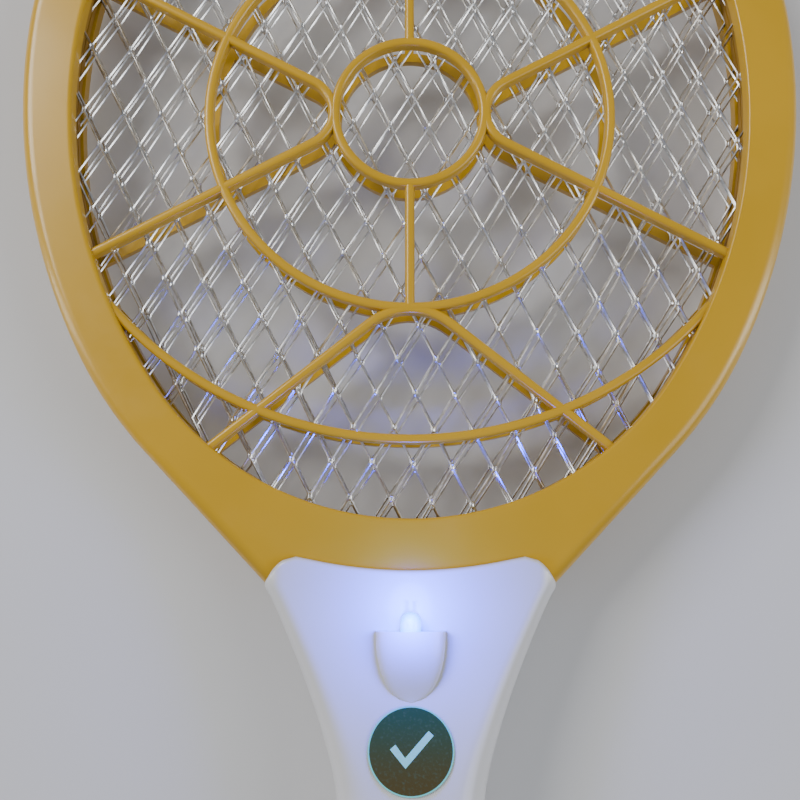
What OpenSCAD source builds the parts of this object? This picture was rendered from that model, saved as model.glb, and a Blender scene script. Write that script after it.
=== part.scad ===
// Electric fly swatter: a racket with three wire meshes, a torch and a mains plug that slides out.
// It lies on its back: X across, Y along the racket towards the tip of the head, Z out of the front.
// The origin is the middle of its footprint, on the surface that it lies on.

/* [Head] */
// Outside width of the head at its widest
head_w = 210.6; // [176:0.2:252]
// Height of the widest place above the middle of the web
side_y = 10.8; // [6:0.2:16]
// Outside radius of the head's sides
side_r = 169; // [150:1:200]
// Turn of the side arcs above the widest place, up to the crown
crown_turn = 5; // [3:0.5:9]
// Turn of the side arcs below the widest place
side_turn = 26.9; // [22:0.1:30]
// Outside radius of the lower shoulders
shoulder_r = 112; // [90:1:130]
// Slope of the straight runs into the neck, from upright
shoulder_turn = 43.7; // [40:0.1:46]
// Thickness of the two frames together
head_t = 14.4; // [12:0.2:20]
// Depth of the rounding along the frames' outer edges
edge_round = 3.4; // [1:0.2:4]
// Gap between the two frames at their parting line
frame_gap = 0.1; // [0.05:0.01:0.3]

/* [Opening] */
// Width of the rim at the widest place
rim_w = 14.2; // [11:0.2:18]
// Radius of the opening's sides
opening_side_r = 141.5; // [130:0.5:160]
// Height of the opening's widest place above the middle of the web
opening_side_y = 5.6; // [2:0.2:10]
// Rim left between the opening and the neck cover
throat_gap = 12.8; // [8:0.2:18]

/* [Web] */
// Width of a rib
rib_w = 2.5; // [1.6:0.1:4]
// How far the ribs lie below the frame's face
rib_recess = 1; // [0.4:0.1:2]
// Radius of the small middle ring
hub_ring_r = 20.2; // [14:0.2:26]
// Radius of the large ring
web_ring_r = 54.3; // [44:0.1:62]
// Angle between a side arm and the cross axis
side_arm_turn = 28; // [22:0.5:34]
// Radius of the rounded nose where two side arms meet
side_nose_r = 9.9; // [7:0.1:13]
// Angle between an end arm and the long axis
end_arm_turn = 51.5; // [44:0.5:58]
// Radius of the rounded nose where two end arms meet
end_nose_r = 16.9; // [12:0.1:22]
// Distance from the opening's lower end to the long arc
arc_gap = 20.2; // [14:0.2:28]

/* [Meshes] */
// Thickness of a mesh
mesh_t = 0.5; // [0.3:0.05:0.8]
// Distance between two neighbouring meshes
mesh_gap = 2.8; // [2.2:0.1:3.4]
// Width of a diamond
diamond_w = 10.5; // [7:0.5:14]
// Length of a diamond
diamond_l = 18.6; // [12:0.2:24]
// Width of a strand
strand_w = 0.7; // [0.4:0.1:1.2]
// How far a mesh reaches under the rim
mesh_hold = 3; // [2:0.1:4]
// Play between the pieces clamped in the frames
seat_gap = 0.05; // [0.02:0.01:0.15]

/* [Neck cover] */
// Width of the handle where it takes over from the head
neck_w = 73.6; // [62:0.2:88]
// Length of the cover's square-cut ends at the corners
corner_l = 9; // [6:0.2:12]
// Radius of the hollow top edge between the corners
top_edge_r = 120; // [90:1:180]
// Length of the hollow flare from the neck corners to the grip
flare_l = 51.5; // [44:0.5:64]
// How hollow the flare is: 1 is straight, 2 hugs the grip
flare_bend = 1.35; // [1.15:0.05:2]
// Thickness of the cover's lip over the frame
lip_t = 1.5; // [1:0.1:2.5]
// Length of the head's tongue inside the handle
tongue_l = 24; // [18:0.5:30]

/* [Grip] */
// Distance from the end of the flare to the tail
grip_l = 201; // [180:1:242]
// Width of the grip where it leaves the flare
grip_w = 36; // [34:0.5:44]
// Extra width at the palm swell
palm_swell = 3; // [0:0.2:6]
// Thickness of the grip
grip_t = 30; // [28:0.5:36]
// Wall of the two shells
wall = 2; // [1.6:0.1:2.6]
// Corner radius of the grip's section
grip_round = 9.5; // [7:0.5:10]
// Corner radius of the section at the neck
neck_round = 5; // [4:0.2:6]
// Rounding of the tail's end
tail_round = 6; // [4:0.5:8]
// Gap between pieces that are fitted together
fit = 0.2; // [0.1:0.05:0.4]

/* [Torch] */
// Distance from the neck corners down to the hood's face
hood_drop = 11.4; // [9:0.2:16]
// Width of the hood at its face
hood_w = 17.1; // [13:0.1:20]
// Length of the hood
hood_l = 17; // [14:0.5:22]
// Height of the hood's face above the cover
hood_h = 5.6; // [5:0.1:7]
// Diameter of the torch lamp
lamp_d = 5; // [3:0.5:5]

/* [Label] */
// Diameter of the round inspection label
label_d = 20.6; // [14:0.2:22]
// Distance from the hood's lower end to the label
label_gap = 0.4; // [0.2:0.1:4]

/* [Controls] */
// Distance from the end of the flare to the push button
button_drop = 32; // [28:0.5:40]
// Diameter of the push button
button_d = 14; // [10:0.5:15]
// How far the button stands above the grip
button_rise = 2.4; // [2:0.1:4]
// Travel of the button
button_travel = 1.5; // [0.8:0.1:1.8]
// Distance between the button and the slide switch
switch_drop = 27; // [25:0.5:32]
// Travel of the slide switch to each side of its middle place
switch_travel = 3; // [2:0.1:3.5]
// Width of the switch knob
knob_w = 7; // [5:0.2:9]
// Length of the switch knob
knob_l = 9; // [7:0.2:10]
// How far the knob stands above the grip
knob_rise = 2; // [1.2:0.1:3]
// Play round the moving pieces
slide_gap = 0.3; // [0.3:0.05:0.5]
// Diameter of the charge lamp
charge_lamp_d = 3; // [2:0.5:4]

/* [Plug] */
// Distance between the two pins
pin_pitch = 19; // [17.5:0.5:19]
// Diameter of a pin
pin_d = 4; // [4:0.1:4.8]
// Length of a pin
pin_l = 19; // [17:0.5:20]

/* [Inside] */
// Length of the circuit board
board_l = 84; // [80:1:92]
// Width of the circuit board
board_w = 24; // [20:0.5:25]
// Thickness of the circuit board
board_t = 1.6; // [1.2:0.1:2]
// Length of the battery
battery_l = 44; // [36:1:46]
// Diameter of a screw's shank
screw_d = 2.2; // [2:0.1:2.6]

/* [Hidden] */
$fn = 48;

// The outer outline is a crown arc, two side arcs, two shoulder arcs and two straight runs, all tangent.
side_cx = head_w / 2 - side_r;
crown_y = side_y - side_cx * tan(crown_turn);
crown_r = side_r + side_cx / cos(crown_turn);
head_tip = crown_y + crown_r;
shoulder_cx = side_cx + (side_r - shoulder_r) * cos(side_turn);
shoulder_cy = side_y - (side_r - shoulder_r) * sin(side_turn);
neck_hw = neck_w / 2;
run_x = shoulder_cx + shoulder_r * cos(shoulder_turn);
run_y = shoulder_cy - shoulder_r * sin(shoulder_turn);
corner_y = run_y - (run_x - neck_hw) / tan(shoulder_turn);
arc_step = 4;

// Heights above the neck corners, from the cover's square-cut ends and its hollow top edge.
lip_x = neck_hw - corner_l * sin(36);
lip_y = corner_y + corner_l * cos(36);
top_edge_cy = lip_y + sqrt(top_edge_r * top_edge_r - lip_x * lip_x);
top_mid_y = top_edge_cy - top_edge_r;

// The opening's outline is a bottom arc, two side arcs and a crown arc, each tangent to the next.
opening_bottom = top_mid_y + throat_gap;
opening_cx = head_w / 2 - rim_w - opening_side_r;
opening_crown_r = opening_side_r - norm([opening_cx, crown_y - opening_side_y]);
opening_fall = opening_bottom - opening_side_y;
opening_bottom_r = (pow(opening_side_r, 2) - pow(opening_cx, 2) - pow(opening_fall, 2))
    / (2 * (opening_side_r + opening_fall));
opening_bottom_cy = opening_bottom + opening_bottom_r;
opening_low_turn = atan2(opening_bottom_cy - opening_side_y, -opening_cx);
opening_high_turn = atan2(crown_y - opening_side_y, -opening_cx);

// Layers of the head, counted from the middle plane between the two frames.
half_head = head_t / 2;
mesh_z = mesh_gap;
pocket_z = mesh_gap + mesh_t / 2 + seat_gap;
rib_top = half_head - rib_recess;
pocket_reach = mesh_hold + 1.5;
mesh_tab_y = opening_bottom - mesh_hold - 5;
long_arc_r = crown_y - opening_bottom - arc_gap;
nose_shift = 0.5;
lead_channel_hw = 6.5;
screw_hole_d = 6;

// The handle.
grip_y = corner_y - flare_l;
tail_y = grip_y - grip_l;
half_grip = grip_t / 2;
full_y = grip_y - 28;
loft_top = lip_y + 6;
tongue_end = corner_y - tongue_l;
shell_gap = frame_gap;

// Places along the handle, from its top down.
hood_y = corner_y - hood_drop;
label_y = hood_y - hood_l - label_gap - label_d / 2;
button_y = grip_y - button_drop;
knob_y = button_y - switch_drop;
charge_y = knob_y - 20;
board_top_y = grip_y - 2;
board_end_y = board_top_y - board_l;
mid_screw_y = board_end_y - 4.5;
battery_top_y = mid_screw_y - 7.5;
battery_end_y = battery_top_y - battery_l;
tail_screw_y = battery_end_y - 6;
pin_tip_y = tail_y + 3;
carrier_low_y = pin_tip_y + pin_l;
carrier_l = 13;
carrier_y = carrier_low_y + carrier_l;
// The plug slides until its carrier is nearly flush with the tail.
plug_travel = carrier_low_y - tail_y - 0.5;
neck_screw_y = corner_y - 15;

// Heights in the handle.
board_z = 2;
board_under = board_z - board_t;
ceiling_z = half_grip - wall;
switch_body_h = 3.6;
plunger_h = 2;
flange_t = 1.2;
flange_z = ceiling_z - slide_gap - flange_t;
stem_z = board_z + switch_body_h + plunger_h + seat_gap;
slider_case_h = 5;
lever_top = flange_z - 1;
battery_hw = 13;
battery_hz = 10;
carrier_hw = pin_pitch / 2 + pin_d / 2 + 1.8;
carrier_hz = 6;
slot_w = 5;
tab_l = 9;
tab_rise = 2;
tab_y = carrier_y + 6;
leaf_t = 0.5;
leaf_hw = 1.8;
leaf_y = carrier_y + 6;
leaf_z = -carrier_hz - 1.2;

// Fixings and the torch's place.
post_d = 5.4;
boss_d = 6.4;
screw_head_d = 4.6;
screw_head_h = 1.6;
shank_top = 6;
lamp_z = handle_ht(hood_y) + lamp_d / 2 - 0.6;
lamp_back_y = hood_y - 3.6;
lead_way_top = half_head + 1.7;
label_lift = 0.3;

// The whole part is set on its back, centred over the origin.
module placed() {
    translate([0, -(head_tip + tail_y) / 2, half_grip])
        children();
}

function mix(a, b, t) = a + (b - a) * t;
function clamp(t) = min(1, max(0, t));
function arc_points(cx, cy, r, from, to) =
    let (n = max(1, ceil(abs(to - from) / arc_step)))
    [for (i = [0:n]) [cx + r * cos(mix(from, to, i / n)), cy + r * sin(mix(from, to, i / n))]];
function mirrored(half) = concat(half, [for (i = [len(half) - 1:-1:0]) [-half[i][0], half[i][1]]]);

// Right half of the head's outline, moved inwards by inset.
function head_half(inset) = concat(
    [[run_x - inset * cos(shoulder_turn)
        - (run_y + inset * sin(shoulder_turn) - corner_y) * tan(shoulder_turn), corner_y]],
    arc_points(shoulder_cx, shoulder_cy, shoulder_r - inset, -shoulder_turn, -side_turn),
    arc_points(side_cx, side_y, side_r - inset, -side_turn, crown_turn),
    arc_points(0, crown_y, crown_r - inset, crown_turn, 89.9));

// Right half of the opening's outline, moved outwards by reach, from start_x beside the long axis.
function opening_half(reach, start_x) = concat(
    arc_points(0, opening_bottom_cy, opening_bottom_r + reach,
        -acos(start_x / (opening_bottom_r + reach)), opening_low_turn),
    arc_points(opening_cx, opening_side_y, opening_side_r + reach, opening_low_turn, opening_high_turn),
    arc_points(0, crown_y, opening_crown_r + reach, opening_high_turn, 89.9));

// Half width of the opening at height y, made smaller by inset.
function opening_hw(y, inset) =
    let (low = opening_side_y + (opening_side_r - inset) * sin(opening_low_turn),
        high = opening_side_y + (opening_side_r - inset) * sin(opening_high_turn))
    y < low ? sqrt(max(0, pow(opening_bottom_r - inset, 2) - pow(y - opening_bottom_cy, 2)))
    : y > high ? sqrt(max(0, pow(opening_crown_r - inset, 2) - pow(y - crown_y, 2)))
    : opening_cx + sqrt(pow(opening_side_r - inset, 2) - pow(y - opening_side_y, 2));

// Half width, half thickness and corner radius of the handle's section at height y.
function grip_share(y) = clamp((grip_y - y) / (grip_l - tail_round));
function handle_hw(y) = y > grip_y
    ? grip_w / 2 + (neck_hw - grip_w / 2) * pow((y - grip_y) / flare_l, flare_bend)
    : grip_w / 2 + palm_swell * (1 - cos(360 * grip_share(y))) / 4;
function ramp(y) = (1 - cos(180 * clamp((lip_y - y) / (lip_y - full_y)))) / 2;
function handle_ht(y) = mix(half_head + lip_t + fit, half_grip, ramp(y));
function handle_round(y) = mix(neck_round, grip_round, ramp(y));

function section(hw, ht, r) =
    [for (c = [0:3]) for (a = [0:18:90])
        [(c == 0 || c == 3 ? 1 : -1) * (hw - r) + r * cos(90 * c + a),
         (c < 2 ? 1 : -1) * (ht - r) + r * sin(90 * c + a)]];

// Heights of the handle's sections above its tail's rounding.
function stations(top) = concat(
    [for (i = [0:9]) mix(top, grip_y, i / 9)],
    [for (i = [1:3]) mix(grip_y, full_y, i / 3)],
    [for (i = [1:6]) mix(full_y, tail_y + tail_round, i / 6)]);

// A closed solid along the handle, inset from its surface, with its tail rounded.
module handle_loft(top, inset) {
    straight = [for (y = stations(top))
        [y, handle_hw(y) - inset, handle_ht(y) - inset, handle_round(y) - inset]];
    low_y = tail_y + tail_round;
    tail = [for (a = [22.5:22.5:90])
        [low_y - (tail_round - inset) * sin(a),
         grip_w / 2 - inset - (tail_round - inset) * (1 - cos(a)),
         half_grip - inset - (tail_round - inset) * (1 - cos(a)),
         grip_round - inset - (tail_round - inset) * (1 - cos(a))]];
    rings = concat(straight, tail);
    n = 24;
    points = [for (s = rings) for (p = section(s[1], s[2], s[3])) [p[0], s[0], p[1]]];
    sides = [for (k = [0:len(rings) - 2]) for (i = [0:n - 1]) for (half = [0, 1])
        let (a = k * n + i, b = k * n + (i + 1) % n)
        half == 0 ? [a, b + n, b] : [a, a + n, b + n]];
    top_cap = [for (i = [0:n - 1]) i];
    tail_cap = [for (i = [n - 1:-1:0]) (len(rings) - 1) * n + i];
    polyhedron(points = points, faces = concat(sides, [top_cap, tail_cap]), convexity = 4);
}

// A round bar between two points.
module rod(a, b, d) {
    v = b - a;
    translate(a)
        rotate([0, acos(v[2] / norm(v)), atan2(v[1], v[0])])
            cylinder(d = d, h = norm(v), $fn = 16);
}

function unit(v) = v / norm(v);
// An eight-sided wire swept along a list of points. across is a direction that it never runs in.
module wire(points, d, across = [1, 0, 0]) {
    last = len(points) - 1;
    rings = [for (i = [0:last])
        let (along = unit(points[min(i + 1, last)] - points[max(i - 1, 0)]),
            n = unit(cross(along, across)), b = cross(along, n))
        for (a = [0:45:315]) points[i] + d / 2 * (cos(a) * n + sin(a) * b)];
    sides = [for (k = [0:last - 1]) for (i = [0:7]) for (half = [0, 1])
        let (p = 8 * k + i, q = 8 * k + (i + 1) % 8)
        half == 0 ? [p, q + 8, q] : [p, p + 8, q + 8]];
    ends = [[for (i = [0:7]) i], [for (i = [7:-1:0]) 8 * last + i]];
    polyhedron(points = rings, faces = concat(sides, ends), convexity = 6);
}

// A box centred across, from y0 up to y1 and z0 up to z1.
module block(hw, y0, y1, z0, z1) {
    translate([-hw, y0, z0])
        cube([2 * hw, y1 - y0, z1 - z0]);
}

// ---- Head ----

module arc_rib(cx, cy, r, from, to) {
    translate([cx, cy, pocket_z])
        rotate([0, 0, from])
            rotate_extrude(angle = to - from, $fn = 96)
                translate([r - rib_w / 2, 0])
                    square([rib_w, rib_top - pocket_z]);
}

module bar_rib(turn, from, to) {
    rotate([0, 0, turn])
        translate([from, -rib_w / 2, pocket_z])
            cube([to - from, rib_w, rib_top - pocket_z]);
}

// One edge of a pair of arms: out of one arm, round the nose at radius r about cx, into the other arm.
function vee_edge(cx, r, arm_turn) =
    let (far = [head_w * cos(arm_turn), head_w * sin(arm_turn)],
        nose = arc_points(cx, 0, r, 90 + arm_turn, 270 - arm_turn))
    concat([nose[0] + far], nose, [nose[len(nose) - 1] + [far[0], -far[1]]]);

// Two arms that part from a rounded nose beside a ring, opening towards +X before turning.
module vee_rib(turn, ring_r, nose_r, arm_turn) {
    cx = ring_r + nose_shift + nose_r;
    inner = vee_edge(cx, nose_r - rib_w / 2, arm_turn);
    rotate([0, 0, turn])
        translate([0, 0, pocket_z])
            linear_extrude(rib_top - pocket_z)
                polygon(concat(vee_edge(cx, nose_r + rib_w / 2, arm_turn),
                    [for (i = [len(inner) - 1:-1:0]) inner[i]]));
}

module web() {
    arc_rib(0, 0, hub_ring_r, 0, 360);
    arc_rib(0, 0, web_ring_r, 0, 360);
    for (turn = [0, 180])
        vee_rib(turn, hub_ring_r, side_nose_r, side_arm_turn);
    for (turn = [90, -90]) {
        bar_rib(turn, hub_ring_r, web_ring_r);
        vee_rib(turn, web_ring_r, end_nose_r, end_arm_turn);
    }
    arc_rib(0, crown_y, long_arc_r, -146, -34);
    arc_rib(0, -crown_y, long_arc_r, 34, 146);
}

module opening_slab(reach, z0, z1) {
    translate([0, 0, z0])
        linear_extrude(z1 - z0)
            polygon(mirrored(opening_half(reach, 0)));
}

// One frame, lying on the middle plane with its ribs up.
module head_frame() {
    difference() {
        union() {
            hull() {
                translate([0, 0, frame_gap / 2])
                    linear_extrude(half_head - edge_round - frame_gap / 2)
                        polygon(mirrored(head_half(0)));
                linear_extrude(half_head - edge_round * 0.29)
                    polygon(mirrored(head_half(edge_round * 0.29)));
                linear_extrude(half_head)
                    polygon(mirrored(head_half(edge_round)));
            }
            tongue(0, frame_gap / 2, half_head);
        }
        opening_slab(0, -1, head_t);
        opening_slab(pocket_reach, -1, pocket_z);
        translate([0, 0, -1])
            cube([2 * head_w, 3 * head_w, 2 + frame_gap], center = true);
        block(lead_channel_hw, tongue_end - 1, opening_bottom, -1, mesh_gap + 1);
        for (s = [-1, 1])
            translate([s * neck_screw_x(), neck_screw_y, -1])
                cylinder(d = screw_hole_d, h = head_t);
    }
    intersection() {
        web();
        opening_slab(2, 0, head_t);
    }
}

// The part of the frames that the handle clamps, made larger by grow.
function tongue_half(grow) =
    [for (i = [0:6])
        let (y = mix(tongue_end, corner_y + 1, i / 6))
        [handle_hw(min(y, corner_y)) - wall - 2 * fit + grow, y - (i == 0 ? grow : 0)]];
module tongue(grow, z0, z1) {
    translate([0, 0, z0])
        linear_extrude(z1 - z0)
            polygon(mirrored(tongue_half(grow)));
}
function neck_screw_x() = handle_hw(neck_screw_y) - wall - 7;

module head_front_frame() {
    color([0.75, 0.55, 0.09])
        placed()
            head_frame();
}

module head_rear_frame() {
    color([0.75, 0.55, 0.09])
        placed()
            mirror([0, 0, 1])
                head_frame();
}

// A flat expanded sheet, with a tab for its lead, pierced by every diamond that fits whole between its edges.
module mesh_sheet(z, tab_x, shift) {
    hx = (diamond_w - strand_w * 1.2) / 2;
    hy = (diamond_l - strand_w * 1.9) / 2;
    edge = strand_w - mesh_hold;
    columns = ceil(head_w / diamond_w / 2) + 1;
    low_y = opening_bottom + edge + hy;
    high_y = crown_y + opening_crown_r - edge - hy;
    difference() {
        union() {
            opening_slab(mesh_hold, z - mesh_t / 2, z + mesh_t / 2);
            block_at(tab_x, 1.5, mesh_tab_y, opening_bottom, z - mesh_t / 2, z + mesh_t / 2);
        }
        for (j = [0:floor(2 * (high_y - low_y) / diamond_l)], i = [-columns:columns])
            let (x = diamond_w * (i + (j % 2) / 2) + shift, y = low_y + j * diamond_l / 2)
                if (abs(x) < min(opening_hw(y, edge) - hx, opening_hw(y - hy, edge), opening_hw(y + hy, edge)))
                    translate([x, y, z - mesh_t])
                        linear_extrude(2 * mesh_t)
                            polygon([[hx, 0], [0, hy], [-hx, 0], [0, -hy]]);
    }
}

// A box centred on x = cx.
module block_at(cx, hw, y0, y1, z0, z1) {
    translate([cx, 0, 0])
        block(hw, y0, y1, z0, z1);
}

module front_mesh() {
    color([0.78, 0.79, 0.80])
        placed()
            mesh_sheet(mesh_z, -4, 0);
}

module centre_mesh() {
    color([0.72, 0.73, 0.74])
        placed()
            mesh_sheet(0, 0, diamond_w / 3);
}

module rear_mesh() {
    color([0.78, 0.79, 0.80])
        placed()
            mesh_sheet(-mesh_z, 4, -diamond_w / 4);
}

module spacer_ring() {
    z0 = mesh_t / 2 + seat_gap;
    z1 = mesh_gap - mesh_t / 2 - seat_gap;
    difference() {
        opening_slab(pocket_reach - fit, z0, z1);
        opening_slab(0.6, z0 - 1, z1 + 1);
        block(lead_channel_hw, opening_bottom - 2 * pocket_reach, opening_bottom, z0 - 1, z1 + 1);
    }
}

module front_spacer_ring() {
    color([0.45, 0.28, 0.06])
        placed()
            spacer_ring();
}

module rear_spacer_ring() {
    color([0.45, 0.28, 0.06])
        placed()
            mirror([0, 0, 1])
                spacer_ring();
}

module mesh_leads() {
    lead_d = 1.4;
    color([0.72, 0.10, 0.08])
        placed()
            for (lead = [[-4, mesh_z], [0, 0], [4, -mesh_z]])
                wire([[lead[0], mesh_tab_y - seat_gap, lead[1]],
                    [lead[0], tongue_end - 2, lead[1]],
                    [lead[0], board_top_y + 6, board_z + 2.4],
                    [lead[0], board_top_y - 3, board_z + 2.4],
                    [lead[0], board_top_y - 4, board_z + 1.4],
                    [lead[0], board_top_y - 4, board_z]], lead_d);
}

// ---- Handle ----

// Plan of the neck cover: its corners, square-cut ends and hollow top edge, open towards the tail.
module cover_plan() {
    turn = asin(lip_x / top_edge_r);
    polygon(mirrored(concat(
        [[neck_w, tail_y - 10], [neck_w, corner_y], [neck_hw, corner_y], [lip_x, lip_y]],
        arc_points(0, top_edge_cy, top_edge_r, -90 + turn, -90.01 + 0.5))));
}

// Both shells in one, before they are parted at the middle plane.
module handle_body() {
    difference() {
        intersection() {
            handle_loft(loft_top, 0);
            translate([0, 0, -grip_t])
                linear_extrude(2 * grip_t)
                    cover_plan();
        }
        handle_loft(tongue_end + 4, wall);
        tongue(fit, -half_head - fit, half_head + fit);
        block(head_w, corner_y - fit, head_tip, -half_head - fit, half_head + fit);
    }
}

// The posts that the screws pass through, from z0 up to z1.
module posts(d, z0, z1) {
    for (p = screw_places())
        translate([p[0], p[1], z0])
            cylinder(d = d, h = z1 - z0);
}
function screw_places() = [
    [-neck_screw_x(), neck_screw_y], [neck_screw_x(), neck_screw_y],
    [0, mid_screw_y],
    [-(battery_hw - 1.5), tail_screw_y], [battery_hw - 1.5, tail_screw_y]];

module hood() {
    face_z = handle_ht(hood_y);
    tip_r = hood_w * 0.27;
    tip_y = hood_y - hood_l + tip_r;
    hull() {
        intersection() {
            translate([0, hood_y - 0.3, face_z - 1])
                rotate([-90, 0, 0])
                    scale([1, (hood_h + 1) / (hood_w / 2), 1])
                        cylinder(d = hood_w, h = 0.3, $fn = 40);
            block(hood_w, hood_y - 1, hood_y + 1, face_z - 1, face_z + hood_h);
        }
        translate([0, tip_y, face_z - 1])
            cylinder(r = tip_r, h = handle_ht(tip_y) - face_z + 1.2, $fn = 32);
    }
}

module handle_front_shell() {
    color([0.90, 0.91, 0.93])
        placed()
            difference() {
                union() {
                    intersection() {
                        handle_body();
                        translate([-head_w, tail_y - 1, shell_gap / 2])
                            cube([2 * head_w, head_tip - tail_y, grip_t]);
                    }
                    difference() {
                        hood();
                        tongue(fit, -half_head - fit, half_head + fit);
                    }
                    for (p = screw_places())
                        translate([p[0], p[1], shell_gap / 2])
                            cylinder(d = post_d, h = handle_ht(p[1]) - wall / 2 - shell_gap / 2);
                }
                posts(screw_d + 0.1, -1, shank_top + 1);
                // Torch bore, with a trough in front of it, and the way back for its leads
                translate([0, hood_y + 7, lamp_z])
                    rotate([90, 0, 0])
                        cylinder(d = lamp_d + 2 * seat_gap + 0.1, h = 15);
                block(2.2, hood_y - 7, hood_y - 4, half_head, lamp_z);
                block(2.2, tongue_end - 4.5, hood_y - 4, half_head, lead_way_top);
                translate([0, button_y, 0])
                    cylinder(d = button_d + 2 * slide_gap, h = grip_t);
                block(knob_w / 2 + slide_gap, knob_y - knob_l / 2 - switch_travel - slide_gap,
                    knob_y + knob_l / 2 + switch_travel + slide_gap, ceiling_z - 1, grip_t);
                translate([0, charge_y, 0])
                    cylinder(d = charge_lamp_d + 2 * seat_gap, h = grip_t);
                block(slot_w / 2 + slide_gap, tab_y - tab_l - plug_travel - slide_gap,
                    tab_y + slide_gap, ceiling_z - 1, grip_t);
                plug_mouth();
            }
}

// The way out through the tail for the plug and its carrier.
module plug_mouth() {
    half_h = carrier_hz + slide_gap;
    block(carrier_hw + slide_gap, tail_y - 1, tail_y + tail_round, -half_h, half_h);
}

module handle_rear_shell() {
    color([0.90, 0.91, 0.93])
        placed()
            difference() {
                union() {
                    intersection() {
                        handle_body();
                        translate([-head_w, tail_y - 1, -grip_t])
                            cube([2 * head_w, head_tip - tail_y, grip_t - shell_gap / 2]);
                    }
                    difference() {
                        for (p = screw_places())
                            translate([p[0], p[1], wall / 2 - handle_ht(p[1])])
                                cylinder(d = boss_d, h = handle_ht(p[1]) - wall / 2 - shell_gap / 2);
                        tongue(fit, -half_head - fit, half_head + fit);
                    }
                    // Rails under the plug's contacts
                    for (s = [-1, 1])
                        block_at(s * pin_pitch / 2, 1.2, carrier_y - plug_travel, leaf_y - 1,
                            wall / 2 - half_grip, leaf_z - seat_gap);
                }
                posts(screw_d + 0.4, -half_grip - 1, 1);
                for (p = screw_places())
                    translate([p[0], p[1], -half_grip - 1])
                        cylinder(d = screw_head_d + 0.4, h = half_grip + 1 + seat_z(p[1]));
                plug_mouth();
            }
}

// Height that the screw's head bears against, below the middle plane.
function seat_z(y) = max(-9.2, screw_head_h + 0.2 - handle_ht(y));

module handle_screws() {
    slot_hw = 0.35;
    color([0.62, 0.62, 0.64])
        placed()
            for (p = screw_places())
                translate([p[0], p[1], seat_z(p[1]) - seat_gap]) {
                    cylinder(d = screw_d, h = shank_top - seat_z(p[1]));
                    difference() {
                        translate([0, 0, -screw_head_h])
                            cylinder(d = screw_head_d, h = screw_head_h);
                        for (turn = [0, 90])
                            rotate([0, 0, turn])
                                block(1.3, -slot_hw, slot_hw, -2 * screw_head_h, 0.6 - screw_head_h);
                    }
                }
}

module inspection_label() {
    // The label follows the cover, which slopes a little along it.
    slope = atan((handle_ht(label_y - label_d / 2) - handle_ht(label_y + label_d / 2)) / label_d);
    color([0.10, 0.24, 0.22])
        placed()
            translate([0, label_y, handle_ht(label_y) + label_lift])
                rotate([-slope, 0, 0])
                    cylinder(d = label_d, h = 0.2, $fn = 64);
}

// ---- Torch and charge lamp ----

module torch_lamp() {
    body_l = 5.6;
    color([0.80, 0.90, 1.00])
        placed()
            translate([0, lamp_back_y, lamp_z])
                rotate([-90, 0, 0]) {
                    cylinder(d = lamp_d, h = body_l);
                    translate([0, 0, body_l])
                        sphere(d = lamp_d);
                }
}

module torch_leads() {
    way_z = half_head + 0.9;
    color([0.15, 0.15, 0.17])
        placed()
            for (s = [-1, 1])
                wire([[s * 1.27, lamp_back_y - seat_gap, lamp_z],
                    [s * 1.27, lamp_back_y - 2, lamp_z],
                    [s * 1.27, lamp_back_y - 2, way_z],
                    [s * 1.27, tongue_end - 2, way_z],
                    [s * 8, board_top_y + 5, board_z + 3],
                    [s * 8, board_top_y - 3, board_z + 3],
                    [s * 8, board_top_y - 4, board_z + 2],
                    [s * 8, board_top_y - 4, board_z]], 0.8);
}

module charge_lamp() {
    color([0.75, 0.08, 0.06])
        placed()
            translate([0, charge_y, 0]) {
                translate([0, 0, half_grip - charge_lamp_d / 2 - 3])
                    cylinder(d = charge_lamp_d, h = 3);
                translate([0, 0, half_grip - charge_lamp_d / 2])
                    sphere(d = charge_lamp_d);
                for (s = [-1, 1])
                    translate([s * 0.8, 0, board_z])
                        cylinder(d = 0.5, h = half_grip - board_z - charge_lamp_d / 2 - 2.8);
            }
}

// ---- Push button ----

module zap_button() {
    color([0.93, 0.62, 0.08])
        placed()
            translate([0, button_y, 0]) {
                translate([0, 0, flange_z])
                    cylinder(d = button_d, h = half_grip + button_rise - flange_z - 1);
                translate([0, 0, half_grip + button_rise - 1])
                    cylinder(d1 = button_d, d2 = button_d - 2, h = 1);
                translate([0, 0, flange_z])
                    cylinder(d = button_d + 3, h = flange_t);
                translate([0, 0, stem_z])
                    cylinder(d = 4, h = flange_z - stem_z + 0.5);
            }
}

module button_spring() {
    turns = 5;
    wire_d = 0.6;
    coil_d = 9.8;
    sides = 6;
    steps = 14;
    rings = turns * steps;
    z0 = board_z + wire_d / 2 + seat_gap;
    z1 = flange_z - wire_d / 2 - seat_gap;
    points = [for (k = [0:rings]) for (i = [0:sides - 1])
        let (a = 360 * k / steps, r = coil_d / 2 + wire_d / 2 * cos(360 * i / sides))
        [r * cos(a), r * sin(a), mix(z0, z1, k / rings) + wire_d / 2 * sin(360 * i / sides)]];
    sides_of = [for (k = [0:rings - 1]) for (i = [0:sides - 1]) for (half = [0, 1])
        let (a = k * sides + i, b = k * sides + (i + 1) % sides)
        half == 0 ? [a, b, b + sides] : [a, b + sides, a + sides]];
    color([0.70, 0.71, 0.73])
        placed()
            translate([0, button_y, 0])
                polyhedron(points = points,
                    faces = concat(sides_of, [[for (i = [sides - 1:-1:0]) i]],
                        [[for (i = [0:sides - 1]) rings * sides + i]]), convexity = 10);
}

module push_switch_body() {
    color([0.16, 0.16, 0.17])
        placed()
            translate([0, button_y, 0])
                difference() {
                    translate([-3, -3, board_z])
                        cube([6, 6, switch_body_h]);
                    translate([0, 0, board_z + 1])
                        cylinder(d = 3.5 + 2 * seat_gap, h = switch_body_h);
                }
}

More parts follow.
